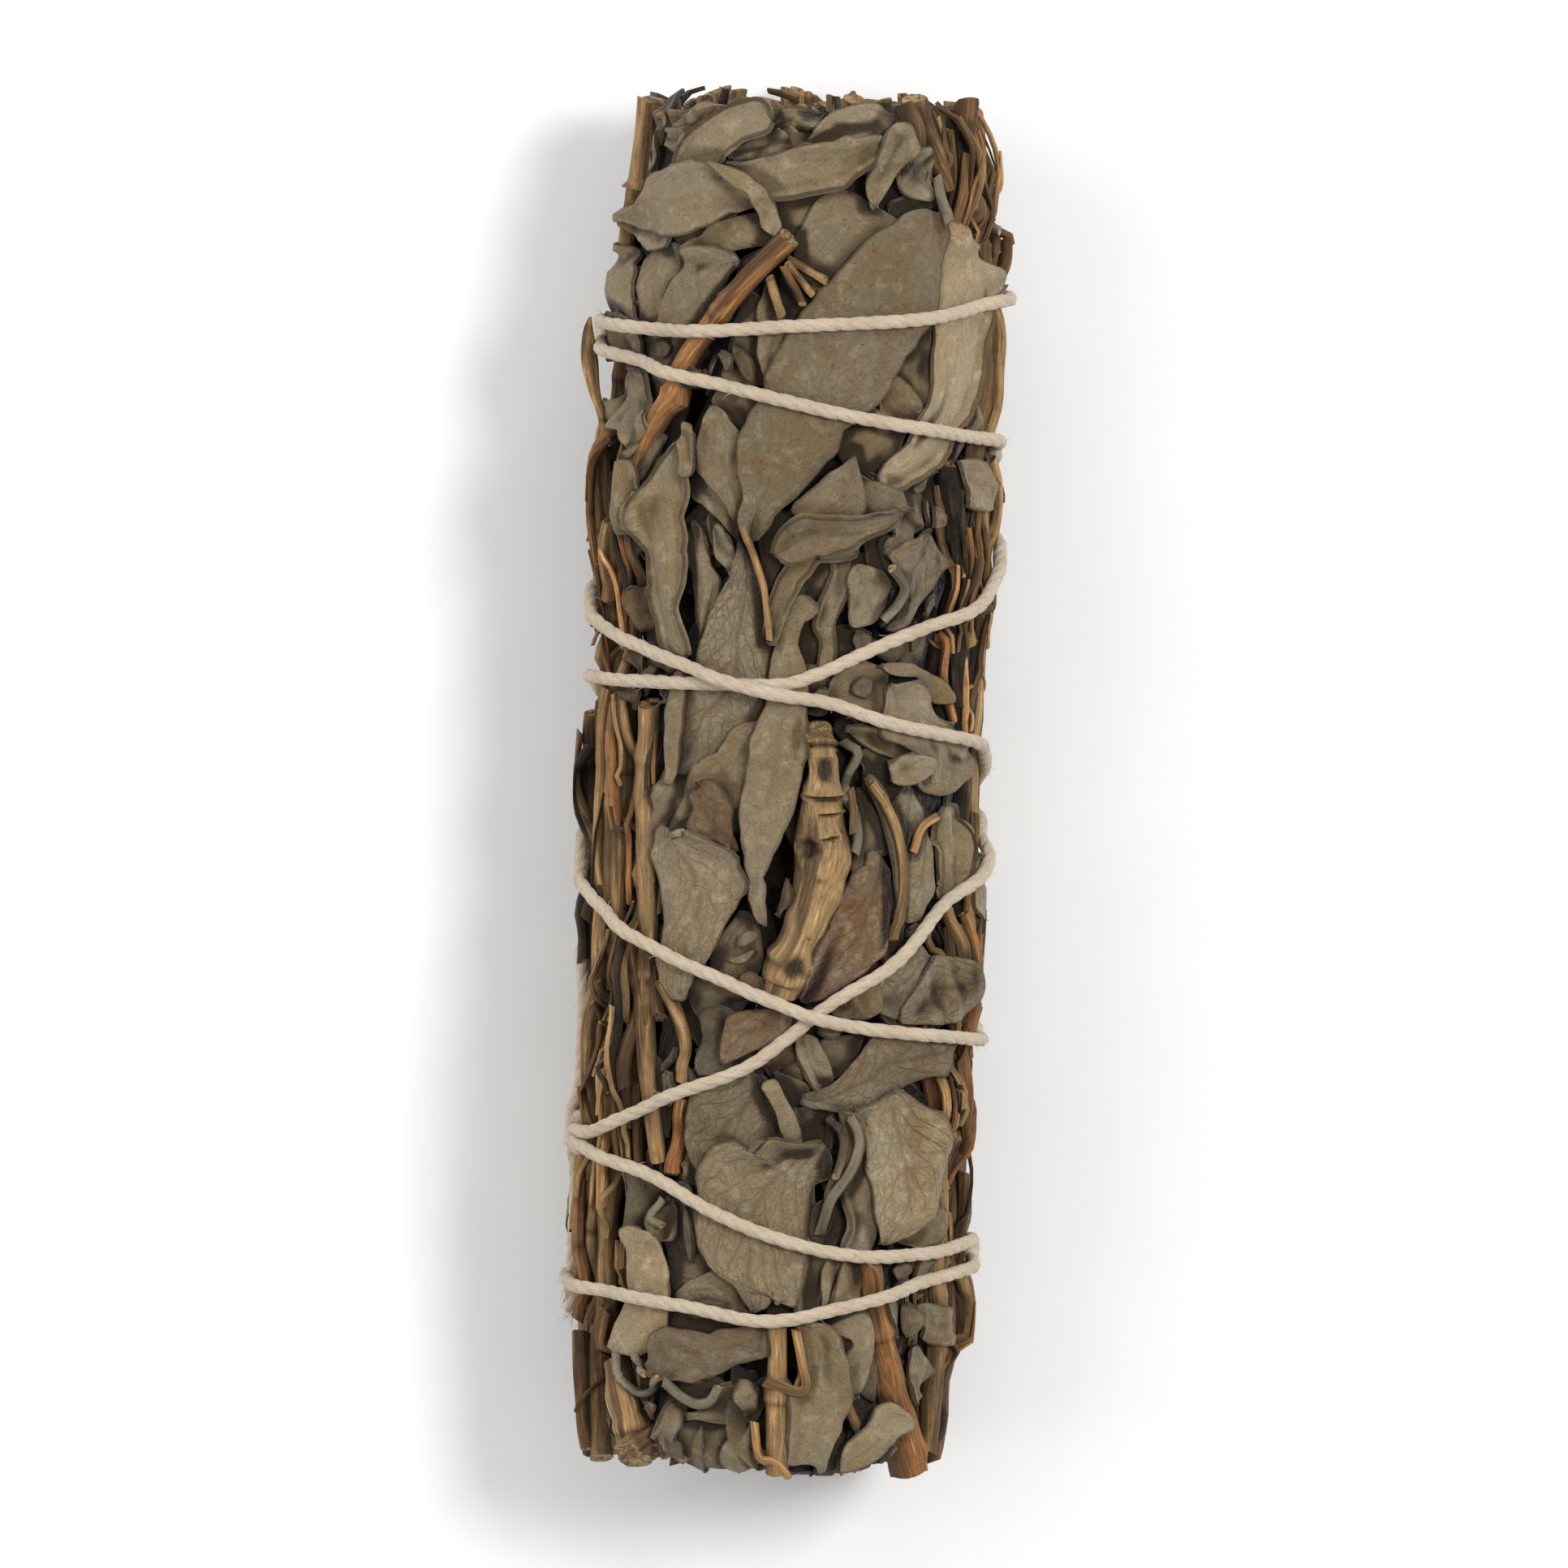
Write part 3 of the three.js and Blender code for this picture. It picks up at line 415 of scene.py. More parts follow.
     -11, 13.5, -11.5, 15.3, -11.8, 17.7, -12.4, 20, -12.5, 21.3, -12.4, 22.5, -11.7, 23.7, -11, 25.5,
     -10.3, 26.9]),
    (3, "strip", 1, 0.05, [-9.9, 28.6, -9.2, 28.7, -8.8, 27.5, -8.9, 25.2, -9.5, 25.1, -9.4, 26.8]),
    (2, "cupped", 0.93, 0.12, [-7.6, 30.4, -6.4, 29.8, -5.3, 28.3, -4.9, 26.5, -4.3, 24.2, -4.1, 22.5,
     -4.5, 20.9, -5.4, 21.8, -6.4, 23.3, -7.5, 24.7, -8.4, 25.6, -8.6, 27.5, -8.3, 29]),
    (1, "flat", 0.95, 0.1, [-7, 32, -4.4, 31.5, -4.3, 29.5, -4.6, 28, -6, 29.5, -7.6, 30.6]),
    (1, "flat", 0.98, 0.1, [-9.1, 25.2, -8.2, 25.4, -7, 24.2, -6, 22.8, -5.1, 21.2, -4.9, 19.8, -6.2, 21,
     -7.6, 22.4, -9.2, 23]),
    (0, "flat", 0.75, 0.1, [-7.2, 22.4, -5.8, 21.6, -4.8, 20, -5.2, 17, -6.5, 18.6, -7.6, 20.4]),
    (1, "folded", 1, 0.05, [-9.1, 21, -8.3, 20, -7.6, 18, -6.6, 15.9, -7.2, 13.7, -7.6, 11.9, -7.9, 10.6,
     -8.8, 13.9, -9.1, 15.8, -9.3, 18.6]),
    (1, "rolled", 1, 0.1, [-6.8, 20.6, -6, 20.2, -5.1, 17.8, -5.3, 16.7, -6.5, 18.5]),
    (2, "veined", 1, 0.05, [-4.6, 19.6, -3.6, 17.7, -2.6, 15.6, -2.2, 13.5, -1.9, 11, -1.8, 8.5, -2.1, 6,
     -2.8, 4.6, -4.2, 4.6, -5, 3.8, -5.8, 2.4, -6.8, 1.4, -9, 1, -10, 1, -10.1, 4, -10, 7, -9, 9,
     -7.9, 10.2, -7.4, 12.3, -6.8, 14.2, -5.9, 15.8, -5.2, 17.7]),
    (3, "strip", 0.98, 0.03, [-10.1, 8.4, -9.1, 8.6, -9, 6, -9.1, 3, -9.2, 0.6, -10, 0, -10.1, 4]),
    (1, "flat", 1, 0.1, [-10.3, 1.9, -8.2, 1.9, -8.2, 0.5, -9.2, -1.6, -9.9, -3.4, -10.6, -4.3, -10.8, -5.7,
     -11.4, -5, -11.6, -3.7, -11, -1.8, -10.6, -0.4]),
    (2, "flat", 0.98, 0.1, [-2.9, 5.1, -3.2, 2.5, -3.6, 0, -3.9, -1.6, -4.3, -3.5, -6, -3, -8.3, -3.6,
     -9.7, -3.9, -9.9, -3.3, -8.7, -1.3, -7.9, 0.6, -6.9, 1.7, -5.9, 2.9, -5, 4.2, -4, 5]),
    (3, "crumpled", 0.78, 0.65, [-7.7, -1.1, -7.1, 0, -6.4, 0.1, -5.3, -0.6, -4.7, -1.6, -4.5, -3.2,
     -4.3, -5.1, -5.4, -4.6, -6.8, -4, -8, -3.4, -7.4, -2]),
    (3, "smooth", 1.02, 0.03, [0.2, 15.2, 1.7, 15.2, 1.8, 14.4, 0.7, 13, 0.4, 11.4, 1, 10, 1.3, 8, 1.2, 5.5,
     0.9, 2, 0.6, -1, 0.1, -2.8, -0.7, -4.6, -1.4, -6, -1.7, -8, -1.5, -9.6, -1.1, -11.1, -2.1, -10.6,
     -2.6, -9, -3.3, -6, -3.8, -3.5, -3.7, -1, -3.2, 1.3, -2.9, 4, -2.1, 6.5, -1.9, 9, -1.7, 10.7,
     -1.2, 12.8, -0.3, 14.4]),
    (3, "rolled", 0.97, 0.12, [-2, 12.3, -1.7, 14.7, -0.8, 17, 0.1, 18.6, 1.3, 19.1, 4.3, 19.5, 4.3, 18.8,
     2, 18.3, 1.1, 17.4, 0, 15.6, -0.9, 13.7, -1.4, 12.1]),
    (1, "flat", 0.88, 0.15, [0.6, 17.9, 2.2, 18.6, 2.6, 17.4, 2.2, 15.8, 1.3, 15, 0.1, 15, 0.5, 16.5]),
    (1, "flat", 0.9, 0.15, [-1.9, 19.6, -0.6, 19, 0.3, 18, 0.2, 15.6, -0.8, 13.6, -1.7, 12.6, -1.8, 15.5]),
    (2, "rolled", 0.98, 0.12, [3, 18.6, 4.4, 19.1, 4.3, 17, 3.6, 14.7, 3.3, 13.3, 3.4, 9.8, 2.2, 9.8,
     2.5, 12.3, 2, 13.5, 2.5, 15.3, 3.2, 17.2]),
    (1, "flat", 0.92, 0.12, [0.5, 14, 1.9, 13.4, 2.4, 11.5, 2.4, 9.6, 0.9, 9.6, 0.4, 11.4]),
    (1, "flat", 0.95, 0.1, [0.8, 9.4, 3.4, 9.8, 3.8, 8, 3, 6.3, 1.2, 6.2]),
    (2, "flat", 1, 0.05, [4.9, 18, 6.7, 17.7, 7.5, 16.5, 7.5, 15.1, 6.7, 13.7, 5.3, 13.4, 4.8, 14,
     4.7, 15.3, 4.3, 16.7]),
    (2, "veined", 0.9, 0.08, [7.3, 19.1, 9, 20, 11.1, 20.7, 12.1, 18.6, 11.8, 16.7, 10.8, 15.3, 9.9, 13.7,
     8.7, 13, 8, 13.3, 9, 15.1, 8.7, 17, 8, 18.1]),
    (1, "veined", 0.92, 0.12, [6.9, 20, 9, 20.4, 9.2, 18, 8.9, 15, 8.3, 13.4, 7.5, 14, 8.2, 16, 7.4, 17.8]),
    (1, "flat", 1, 0.08, [8.7, 12.3, 11.1, 13.3, 11.4, 12.1, 11.1, 10.9, 10.5, 10, 9.7, 9.8, 9.1, 10.9]),
    (0, "flat", 0.9, 0.1, [2.9, 12.3, 5, 13, 7.1, 12.6, 6.7, 11.2, 4.3, 10.5, 3.2, 10.9]),
    (1, "cupped", 0.97, 0.05, [3.6, 8.8, 4.3, 9.5, 5.5, 10, 7.3, 10, 8.3, 9.3, 8, 8.4, 7.8, 7, 7.3, 5.8,
     5.7, 6, 4.3, 7.1, 3.4, 7.9]),
    (2, "strip", 0.92, 0.18, [7.3, 10.1, 8.7, 10.2, 10.6, 9.9, 12, 9.2, 12.9, 8.1, 12.8, 7.3, 12, 7,
     11.5, 7.9, 10.4, 8.8, 8.7, 9.3]),
    (2, "crumpled", 1.12, 0.04, [7.8, 7.4, 8.3, 8.4, 9.2, 8.6, 10.6, 8.6, 11.5, 7.7, 11.8, 6.5, 12.7, 5.1,
     13.6, 4, 14.6, 2.8, 14.8, 1.6, 13.9, 0.2, 12, 0, 10.6, 1.4, 10.8, 2.8, 9.4, 3.7, 7.6, 4.4, 7.6, 6]),
    (3, "crumpled", 1.2, 0.15, [8.3, 2.1, 9.4, 2.8, 11.1, 2.7, 11.3, 1.6, 9.9, 0.8, 8.7, 0.9]),
    (1, "flat", 0.88, 0.1, [6, 2.8, 7.1, 3.3, 8.3, 3, 8.5, 1.6, 9.4, 0.7, 10.3, -0.7, 6.7, -0.9, 6.9, 1.4]),
    (1, "flat", 0.95, 0.1, [5, 4.9, 6.7, 5.1, 9.2, 4.2, 10.8, 3.5, 10.6, 2.3, 8.7, 2.8, 6.4, 3.7]),
    (3, "folded", 0.84, 0.4, [-0.2, 22.7, 1.8, 24.6, 3.6, 26.4, 4.3, 26.8, 4.7, 26, 5, 24.1, 5, 22.3,
     1.8, 21.7, 0.4, 21.9]),
    (2, "folded", 0.88, 0.3, [4.6, 25.3, 6.7, 24.6, 8, 24.1, 9.1, 23, 8.7, 22.5, 6.4, 22.3, 5, 22.7]),
    (1, "folded", 0.88, 0.25, [5.3, 25.7, 7.3, 25, 9.4, 25.3, 10.4, 25, 11, 23, 10.8, 21.3, 9.9, 20.6,
     8.7, 19.5, 7.1, 19.5, 8, 21.3, 7.6, 23]),
    (3, "rolled", 0.86, 0.28, [-1.7, 18.8, -0.8, 20.6, 0.4, 21.7, 1.8, 21.7, 4.3, 21.6, 6.4, 22, 8.3, 22.4,
     7.3, 21.4, 5.3, 20.5, 3.9, 19.8, 2, 19.1, 0.4, 18.5]),
    (1, "flat", 0.75, 0.2, [-3.3, 21.4, -1.7, 22, 0, 22.3, 0.2, 20.4, -1.2, 18.4, -2.2, 16, -2.9, 18]),
    (0, "flat", 0.9, 0.15, [5.8, 21, 7.4, 21.2, 9, 19.5, 8.8, 17.6, 6.4, 17.6]),
    (2, "crumpled", 1.2, 0.25, [13.2, 26.4, 15, 26.4, 15.3, 24.6, 15.3, 22.7, 14.1, 23, 13.4, 24.8]),
    (3, "torn", 1.1, 0, [-10.6, -4.2, -10, -3.2, -9.5, -4, -9.2, -4.6, -8, -3.9, -6.6, -4.5, -5.4, -4.9,
     -4.3, -5.4, -3.9, -6, -4, -6.4, -3.2, -7.7, -3.2, -8.3, -4, -9.5, -4.7, -10.6, -5.4, -12, -5.9, -13.4,
     -7.1, -15, -7.5, -16.2, -7.8, -17.3, -8.7, -17.1, -9.4, -16.2, -10.1, -14.8, -10.4, -13.9, -10, -12.5,
     -10, -10.6, -10.2, -9, -10.6, -7.4, -10.8, -6]),
    (1, "veined", 0.97, 0.1, [-4, -10.2, -3.1, -10.2, -2.5, -10.9, -2.1, -12.7, -1.9, -13.7, -2.3, -15,
     -2.9, -15.6, -5, -15.2, -6, -14.3, -5.7, -13.4, -4.7, -11.6]),
    (1, "crumpled", 0.54, 0.08, [-6.8, -15.3, -5, -15.7, -3.6, -16.4, -2.9, -17, -3.8, -18.3, -5, -19.2,
     -6.6, -19.2, -7.5, -17.6, -7.8, -16.9]),
    (1, "crumpled", 0.46, 0.2, [-6.5, -18.5, -5.2, -18, -3.6, -18.5, -3.1, -20.1, -4, -21.5, -4.3, -22.8,
     -6.4, -23.1, -6.8, -22.2, -6.4, -20.3]),
    (1, "crumpled", 0.88, 0.5, [-4, -18.5, -1.7, -18.1, 1.1, -18.2, 0.4, -19.6, -1.3, -20.6, -2.9, -21.5,
     -4.3, -22.2, -4.5, -20.6]),
    (1, "flat", 0.9, 0.12, [6.1, 0.1, 7.3, -1.6, 8.5, -3.4, 8.7, -4.8, 7.3, -5.3, 6.7, -6.2, 5.7, -7.1,
     6, -3.7, 5.8, -1.3]),
    (2, "veined", 1.1, 0.75, [7.1, -5, 7.8, -5.3, 8.7, -6.7, 9.2, -8.3, 9.3, -9.9, 9, -11.6, 8.5, -13,
     7.3, -14.1, 6.2, -15, 4.8, -16, 3.6, -16.9, 2.5, -17.1, 1.8, -16.8, 2.1, -15.3, 2.5, -14.1, 2.9, -13,
     3.6, -11.6, 4.6, -9.5, 5.5, -7.6, 6.4, -6.2]),
    (3, "rolled", 1, 0.08, [6.4, 1, 7.1, 0.8, 8.2, -0.9, 9.1, -3, 9.6, -5, 9.6, -7.8, 9.3, -10.2, 9, -8.3,
     8.7, -5.5, 8, -2.7, 7.1, -0.6]),
    (1, "veined", 1, 0.05, [8.7, -1.6, 9.4, -0.4, 10.1, 0.8, 10.8, -0.4, 11.3, -2.3, 10.8, -3.4, 10.3, -4.6,
     9.4, -5, 9.2, -3]),
    (2, "veined", 1.3, 0.03, [10, -5.7, 11.1, -4.1, 11.8, -3.3, 12.3, -4.8, 12.7, -6.7, 12.9, -8.1,
     12.5, -9, 11.5, -10.3, 9.7, -10.3, 9.6, -8.3, 9.8, -6.7]),
    (2, "rolled", 1.15, 0, [12.9, -2.5, 13.4, -1.6, 14.1, -1.8, 14.6, -3.2, 15, -5, 14.8, -6.7, 14.3, -8.1,
     13.6, -8.2, 12.9, -6, 12.8, -4.1]),
    (2, "flat", 1.15, 0, [15, -9, 15.2, -6.2, 15.4, -5.4, 15.5, -8, 15.4, -10.4, 15.2, -9.9]),
    (1, "veined", 0.95, 0.12, [8, -15, 9.9, -13.9, 11.3, -12.6, 12.6, -13.4, 12, -14.6, 10.8, -16,
     9.9, -17.6, 9.4, -18.1, 8, -17.5, 7.7, -16.2]),
    (2, "veined", 1.03, 0.05, [12, -14.1, 12.9, -13.4, 14.1, -13.9, 14.4, -15.3, 14.1, -17.1, 13.4, -18.5,
     10.4, -18.5, 9.8, -17.8, 10.8, -16]),
    (1, "flat", 0.97, 0.3, [4.3, -17.4, 6.7, -16.3, 7.8, -15.6, 8.2, -17.4, 7.3, -18.1, 5.3, -18.1]),
    (0, "flat", 0.8, 0.2, [9.2, -10, 11.4, -9.8, 12.4, -11, 11.6, -13.4, 9.4, -14.6, 9, -12.5]),
    (3, "veined", 0.88, 0.3, [2.2, -24.6, 3.9, -23.9, 5.3, -22.9, 6.7, -21.5, 8.3, -19.6, 10.1, -19.9,
     12, -20.1, 13.7, -20.3, 13.2, -21.3, 12.2, -22.4, 11.5, -22.9, 9.9, -23.8, 8.7, -24.7, 7.6, -25.4,
     5.5, -25.9, 4.1, -25.7, 2.7, -25.3]),
    (1, "rolled", 0.95, 0.08, [1.7, -20.2, 2.9, -20, 3.6, -20.9, 4.2, -22.2, 4.7, -23.5, 3.3, -23.9,
     2.6, -22.9, 1.9, -21.5]),
    (0, "flat", 0.75, 0.1, [3.6, -20.6, 5.5, -19.9, 7.3, -19.9, 6.7, -21.5, 5.3, -22.8, 4.3, -22.7]),
    (1, "veined", 0.82, 0.08, [-6.6, -25, -5, -24.1, -3.1, -23.2, -1.7, -23.3, -0.8, -24.1, 0.5, -26.1,
     0.5, -27.5, -0.2, -28.3, -1.3, -28.5, -1.7, -29.5, -2.2, -29.3, -3.1, -28.9, -4, -29.2, -5, -29.7,
     -5.4, -30.6, -6.1, -31, -6.7, -30.1, -7, -28.9, -7.1, -27.8, -6.9, -26.6]),
    (2, "strip", 1, 0.08, [-1.1, -24, -0.1, -23.6, 0.6, -24.7, 1.2, -26.1, 1.9, -27.3, 2.1, -28.2,
     1.2, -28.3, 0.5, -27.3, 0, -25.7]),
    (1, "flat", 0.92, 0.5, [1.9, -25.8, 4.3, -25.8, 4.7, -26.8, 4.4, -28, 4.2, -28.7, 2.2, -28.5,
     1.2, -27.4, 1.2, -26.5]),
    (0, "flat", 0.6, 0.2, [-0.1, -23, 2, -23.6, 2.5, -24.5, 1.9, -25.9, 1, -25.7, 0.3, -24.4]),
    (2, "torn", 1.05, 0, [-6.3, -32, -5.7, -30.8, -4.9, -29.2, -3.1, -28.7, -1.7, -29.6, -0.8, -28.3,
     0.6, -28.5, 2.2, -28.7, 4, -28.5, 4.7, -30.1, 4.7, -31.5, 3.6, -32.1, 3.5, -33.3, 3.6, -34.3,
     3.5, -35.7, 3, -37.5, 2.6, -39.1, 2.2, -41.4, 1.8, -41.5, 0.7, -40.5, -0.3, -41.7, -1.3, -42.2,
     -2, -41.3, -2.8, -39.9, -4, -39.2, -5, -38.4, -5.9, -37]),
    (1, "veined", 0.98, 0.1, [-9.9, -36.1, -9, -34, -7.8, -33.6, -6.8, -34.2, -5.7, -34, -4, -35.2,
     -2.7, -36.6, -1.7, -38.5, -3.1, -39.1, -4, -39.6, -5.9, -40.5, -7.8, -41.4, -8.6, -41.4, -8.7, -39.3,
     -9, -37.5]),
    (3, "smooth", 1.5, 0, [-12.3, -36.4, -10.3, -36.3, -9.3, -36.6, -9, -37.8, -8.7, -39.3, -8.6, -40.7,
     -8.7, -42.8, -9, -45.1, -11, -46.1, -12.7, -46.2, -13, -45.4, -12.4, -42.8, -11.8, -40.5,
     -11.9, -38.2]),
    (2, "crumpled", 1.08, 0, [-10.1, -34.3, -9, -33.7, -8.4, -34.3, -8.6, -36.4, -9.6, -36.5, -10, -35.4]),
    (0, "flat", 0.6, 0.3, [-12.2, -31.7, -10.1, -32.9, -9.8, -34.3, -10.2, -36.4, -12.1, -36.4]),
    (3, "veined", 1.42, 0.06, [6.5, -26.1, 7.8, -25.5, 9.4, -24.5, 10.8, -24.7, 11.6, -25.9, 12.2, -27.3,
     12.7, -29.2, 13, -31, 13.1, -33.1, 13, -34, 12, -35.2, 10.4, -36.2, 9.4, -36.4, 9, -35.8, 8.7, -34.3,
     8.5, -32.4, 8, -30.6, 7.6, -28.2, 7.1, -27.1]),
    (2, "rimRight", 1.1, 0, [7.1, -27.8, 7.9, -29.2, 8.4, -31, 8.6, -33.1, 9.1, -35.2, 8.7, -36.8, 7.1, -37,
     6.4, -36.6, 6.7, -34.3, 6.2, -32.9, 6.5, -31.5, 6.9, -29.9]),
    (1, "veined", 1.08, 0, [4.9, -33.3, 6.7, -32.9, 8.3, -33.1, 8.6, -34.3, 7.8, -36.8, 6.7, -37,
     4.9, -36.6, 4.6, -35.2]),
    (3, "rolled", 0.98, 0.08, [5.1, -26, 6.7, -26.4, 7, -28, 6.5, -30.1, 5.5, -32, 4.4, -33.2, 4.7, -31.7,
     5.5, -29.9, 5.7, -28]),
    (1, "flat", 0.9, 0.1, [4.7, -26, 6.8, -26, 7.5, -28, 7, -30.5, 5.6, -33, 4.8, -34, 4.6, -30]),
    (2, "strip", 0.95, 0.15, [3.8, -33.8, 4.6, -32.9, 5, -34.3, 4.5, -36, 3.7, -35.8]),
    (2, "flat", 1.05, 0.05, [12.9, -34, 13.7, -33.8, 13.9, -36.4, 12, -36.5, 10.6, -36, 12, -35.2]),
    (0, "flat", 0.85, 0.1, [-7.7, -31.8, -7, -27, -6.4, -29.5, -6.3, -31.8]),
    (1, "flat", 1, 0.1, [-3.6, -39, -5, -39.3, -6.4, -40, -8, -41.2, -5, -42, -2, -42.4, -2.5, -40.7]),
    (0, "flat", 0.95, 0.4, [2.3, -40, 2.5, -42, 0.1, -42.2, 0, -41.2, 0.6, -40]),
    (1, "rolled", 1.03, 0.08, [2.8, -42, 3, -39.3, 3.7, -37.2, 4.7, -37.5, 4.5, -40.5, 4.2, -42.2]),
    (1, "rolled", 1.03, 0.08, [4.5, -42.2, 4.7, -38.4, 5.5, -37, 6, -39.3, 5.1, -42.1]),
    (1, "rolled", 1.03, 0.08, [5.3, -41.7, 6, -39.3, 6.5, -37.2, 7.8, -38.4, 7.5, -41, 6.4, -41.7]),
    (1, "strip", 1, 0.05, [-8.7, -42.7, -6.8, -42.9, -5, -43.1, -3.5, -42.9, -3.3, -43.7, -4.5, -44.3,
     -6.4, -44.2, -8.7, -44]),
    (3, "flat", 0.72, 0.35, [-9.2, -44.6, -8.7, -44.1, -6.8, -44, -5, -44.2, -3.1, -43.7, -0.7, -43.3,
     -0.4, -44.7, -0.4, -45.8, -1.7, -46, -3.1, -46.8, -5, -47.5, -7.5, -48, -9.5, -47.9, -10, -47.3,
     -9.5, -46.3]),
    (2, "rolled", 1.05, 0.05, [-8, -48.2, -6.4, -48, -4.4, -47.9, -3.8, -48.4, -4.2, -49.4, -5.4, -49.7,
     -6.8, -49.3, -7.5, -48.7]),
    (2, "folded", 1, 0.03, [-3.3, -48.1, -1.7, -48, -0.7, -48.4, -1.2, -50, -2.1, -50.7, -3.5, -51.2,
     -5, -51.1, -6.4, -50.8, -5, -50, -4, -49.3, -3.6, -48.6]),
    (1, "flat", 0.97, 0.05, [-0.8, -47.9, 0, -47.6, 0.1, -48.7, -0.7, -50.5, -1.6, -51.7, -2.8, -52.2,
     -3.5, -53.3, -3.5, -54.9, -6.8, -55, -7.8, -53.3, -7.1, -51, -5, -51]),
    (2, "folded", 0.98, 0.05, [-3.1, -55, -3.6, -54.2, -3.1, -53, -1.7, -51.8, -0.9, -51.3, -1, -53.3,
     -1.4, -54.7, -2.2, -55.5]),
    (1, "rolled", 1, 0.05, [-9.3, -52.5, -8.7, -51, -7.5, -49.4, -6.6, -49.2, -7, -51, -7.8, -52.8,
     -8, -53.8, -9.2, -53.8]),
    (3, "smooth", 1.08, 0, [2.4, -43.3, 4.3, -43.1, 5.3, -43.5, 5.8, -44.7, 6.2, -46.3, 6.7, -48.2,
     6.9, -49.1, 6.5, -51, 6, -52.1, 5.8, -53.3, 5.5, -55.2, 4.1, -54.3, 2.7, -54.3, 2, -53.8, 2.2, -51,
     2.2, -48.6, 2.8, -47.2, 2.6, -45.8]),
    (2, "rimLeft", 1.08, 0, [5.3, -43.5, 6.7, -42.5, 7.9, -42.2, 8.4, -43.5, 8.3, -45.1, 8, -47.5,
     7.4, -48.7, 6.8, -47.5, 6.2, -45.8, 6.8, -44.7]),
    (3, "cupped", 1.28, 0, [6.7, -53, 7.6, -52.1, 8.7, -51, 9.1, -49.8, 10.1, -49.6, 11.3, -50.5,
     11.6, -51.4, 10.8, -52.2, 10.1, -53.1, 9.4, -54, 7.6, -55, 7.1, -55, 6.7, -54]),
    (1, "flat", 1, 0.03, [6.1, -51.9, 6.7, -53, 7.2, -55.3, 6.7, -55.7, 5.4, -55.3, 5.7, -53.3]),
    (0, "crumpled", 0.75, 0.2, [2.5, -54.2, 4.1, -54.1, 5.5, -54.9, 5.3, -55.7, 2.7, -55.7]),
    (2, "crumpled", 0.92, 0.15, [12, -46.1, 12.5, -45, 13.2, -45.8, 13.7, -47, 13, -48.6, 12.2, -49.4,
     12, -48.2, 12.2, -47.2]),
    (2, "crumpled", 0.95, 0.35, [12.7, -41.5, 13.9, -41.8, 14.8, -42.3, 15, -44.3, 14.1, -44.8, 13.1, -43.9,
     12.4, -42.3]),
    (0, "flat", 0.72, 0.2, [9.9, -41.7, 11.5, -41.1, 12.6, -42.3, 12.1, -44.2, 11.3, -45.6, 10.5, -43.7]),
]


# stems and stalks

rodSides, rodRings, thinRings = 14, 60, 26
laidRods = []


def layRod(name, stations, look, seed, rings=rodRings, fixed=False, free=False):
    # stations are (u, v, radius) or, where fixed, (u, v, radius, height of the centre);
    # a free one isn't pressed in by the twine
    path, length = curveThrough(stations, rings)
    u, v, radius = path[:, 0], path[:, 1], np.maximum(path[:, 2], 0.08)
    if fixed:
        height = path[:, 3]
    else:
        below = np.max([readMap(relief, u + shift * radius, v) for shift in (-0.5, 0, 0.5)], axis=0)
        height = below + radius * 0.5
        window = max(3, int(rings * 5 / max(length, 5)))
        kernel = np.hanning(window + 2)[1:-1]
        wide = np.pad(height, window, mode="edge")
        smooth = np.convolve(wide, kernel / kernel.sum(), mode="same")[window:-window]
        height = np.maximum(smooth, height - 0.35 * radius)
    rows, fineRows = np.linspace(0, 1, rings), np.linspace(0, 1, rings * 4)
    for shift in np.linspace(-0.95, 0.95, 7):
        top = height + radius * math.sqrt(1 - shift ** 2)
        stampMap(relief, *sampled(columns(u + shift * radius, v, top), rows, fineRows).T)
    laidRods.append({"name": name, "u": u, "v": v, "height": height, "radius": radius, "length": length,
                     "look": look, "seed": np.random.default_rng(seed).integers(1 << 30), "free": free})


def upperRod(name, points, radius, look, seed, rings=thinRings):
    # a stem that lies on the leaves, through points seen from above
    layRod(name, [(float(seenFrom(x, y)), y, radius) for x, y in points], look, seed, rings)


def nodeRod(name, stations, look, seed, raised, rings=rodRings):
    # a stem which stands for a node: angle in degrees, y, radius, lying just under the surface
    turned = [(unrolled(angle), y, radius, raised - radius) for angle, y, radius in stations]
    layRod(name, turned, look, seed, rings, fixed=True)


stemLooks = {                 # lightness, redness, barkiness, roughness of the outline
    "tan": (1.16, 0.08, 0.1, 0.09),
    "pale": (1.45, 0.1, 0.0, 0.07),
    "red": (1.12, 0.85, 0.1, 0.09),
    "brown": (0.75, 0.5, 0.3, 0.12),
    "bark": (0.42, 0.15, 1.0, 0.16),
    "leafy": (1.0, -1.0, 0.0, 0.07),
    "gold": (1.5, 0.4, 0.0, 0.05),
    # the bud's lightness is raised to make up for the shade that it lies in at the left edge: painted light
    "bud": (2.3, 0.15, 0.0, 0.05),
    "knotty": (1.2, -0.1, 0.05, 0.07),
    "smoothTan": (1.2, 0.75, 0.05, 0.05),
}

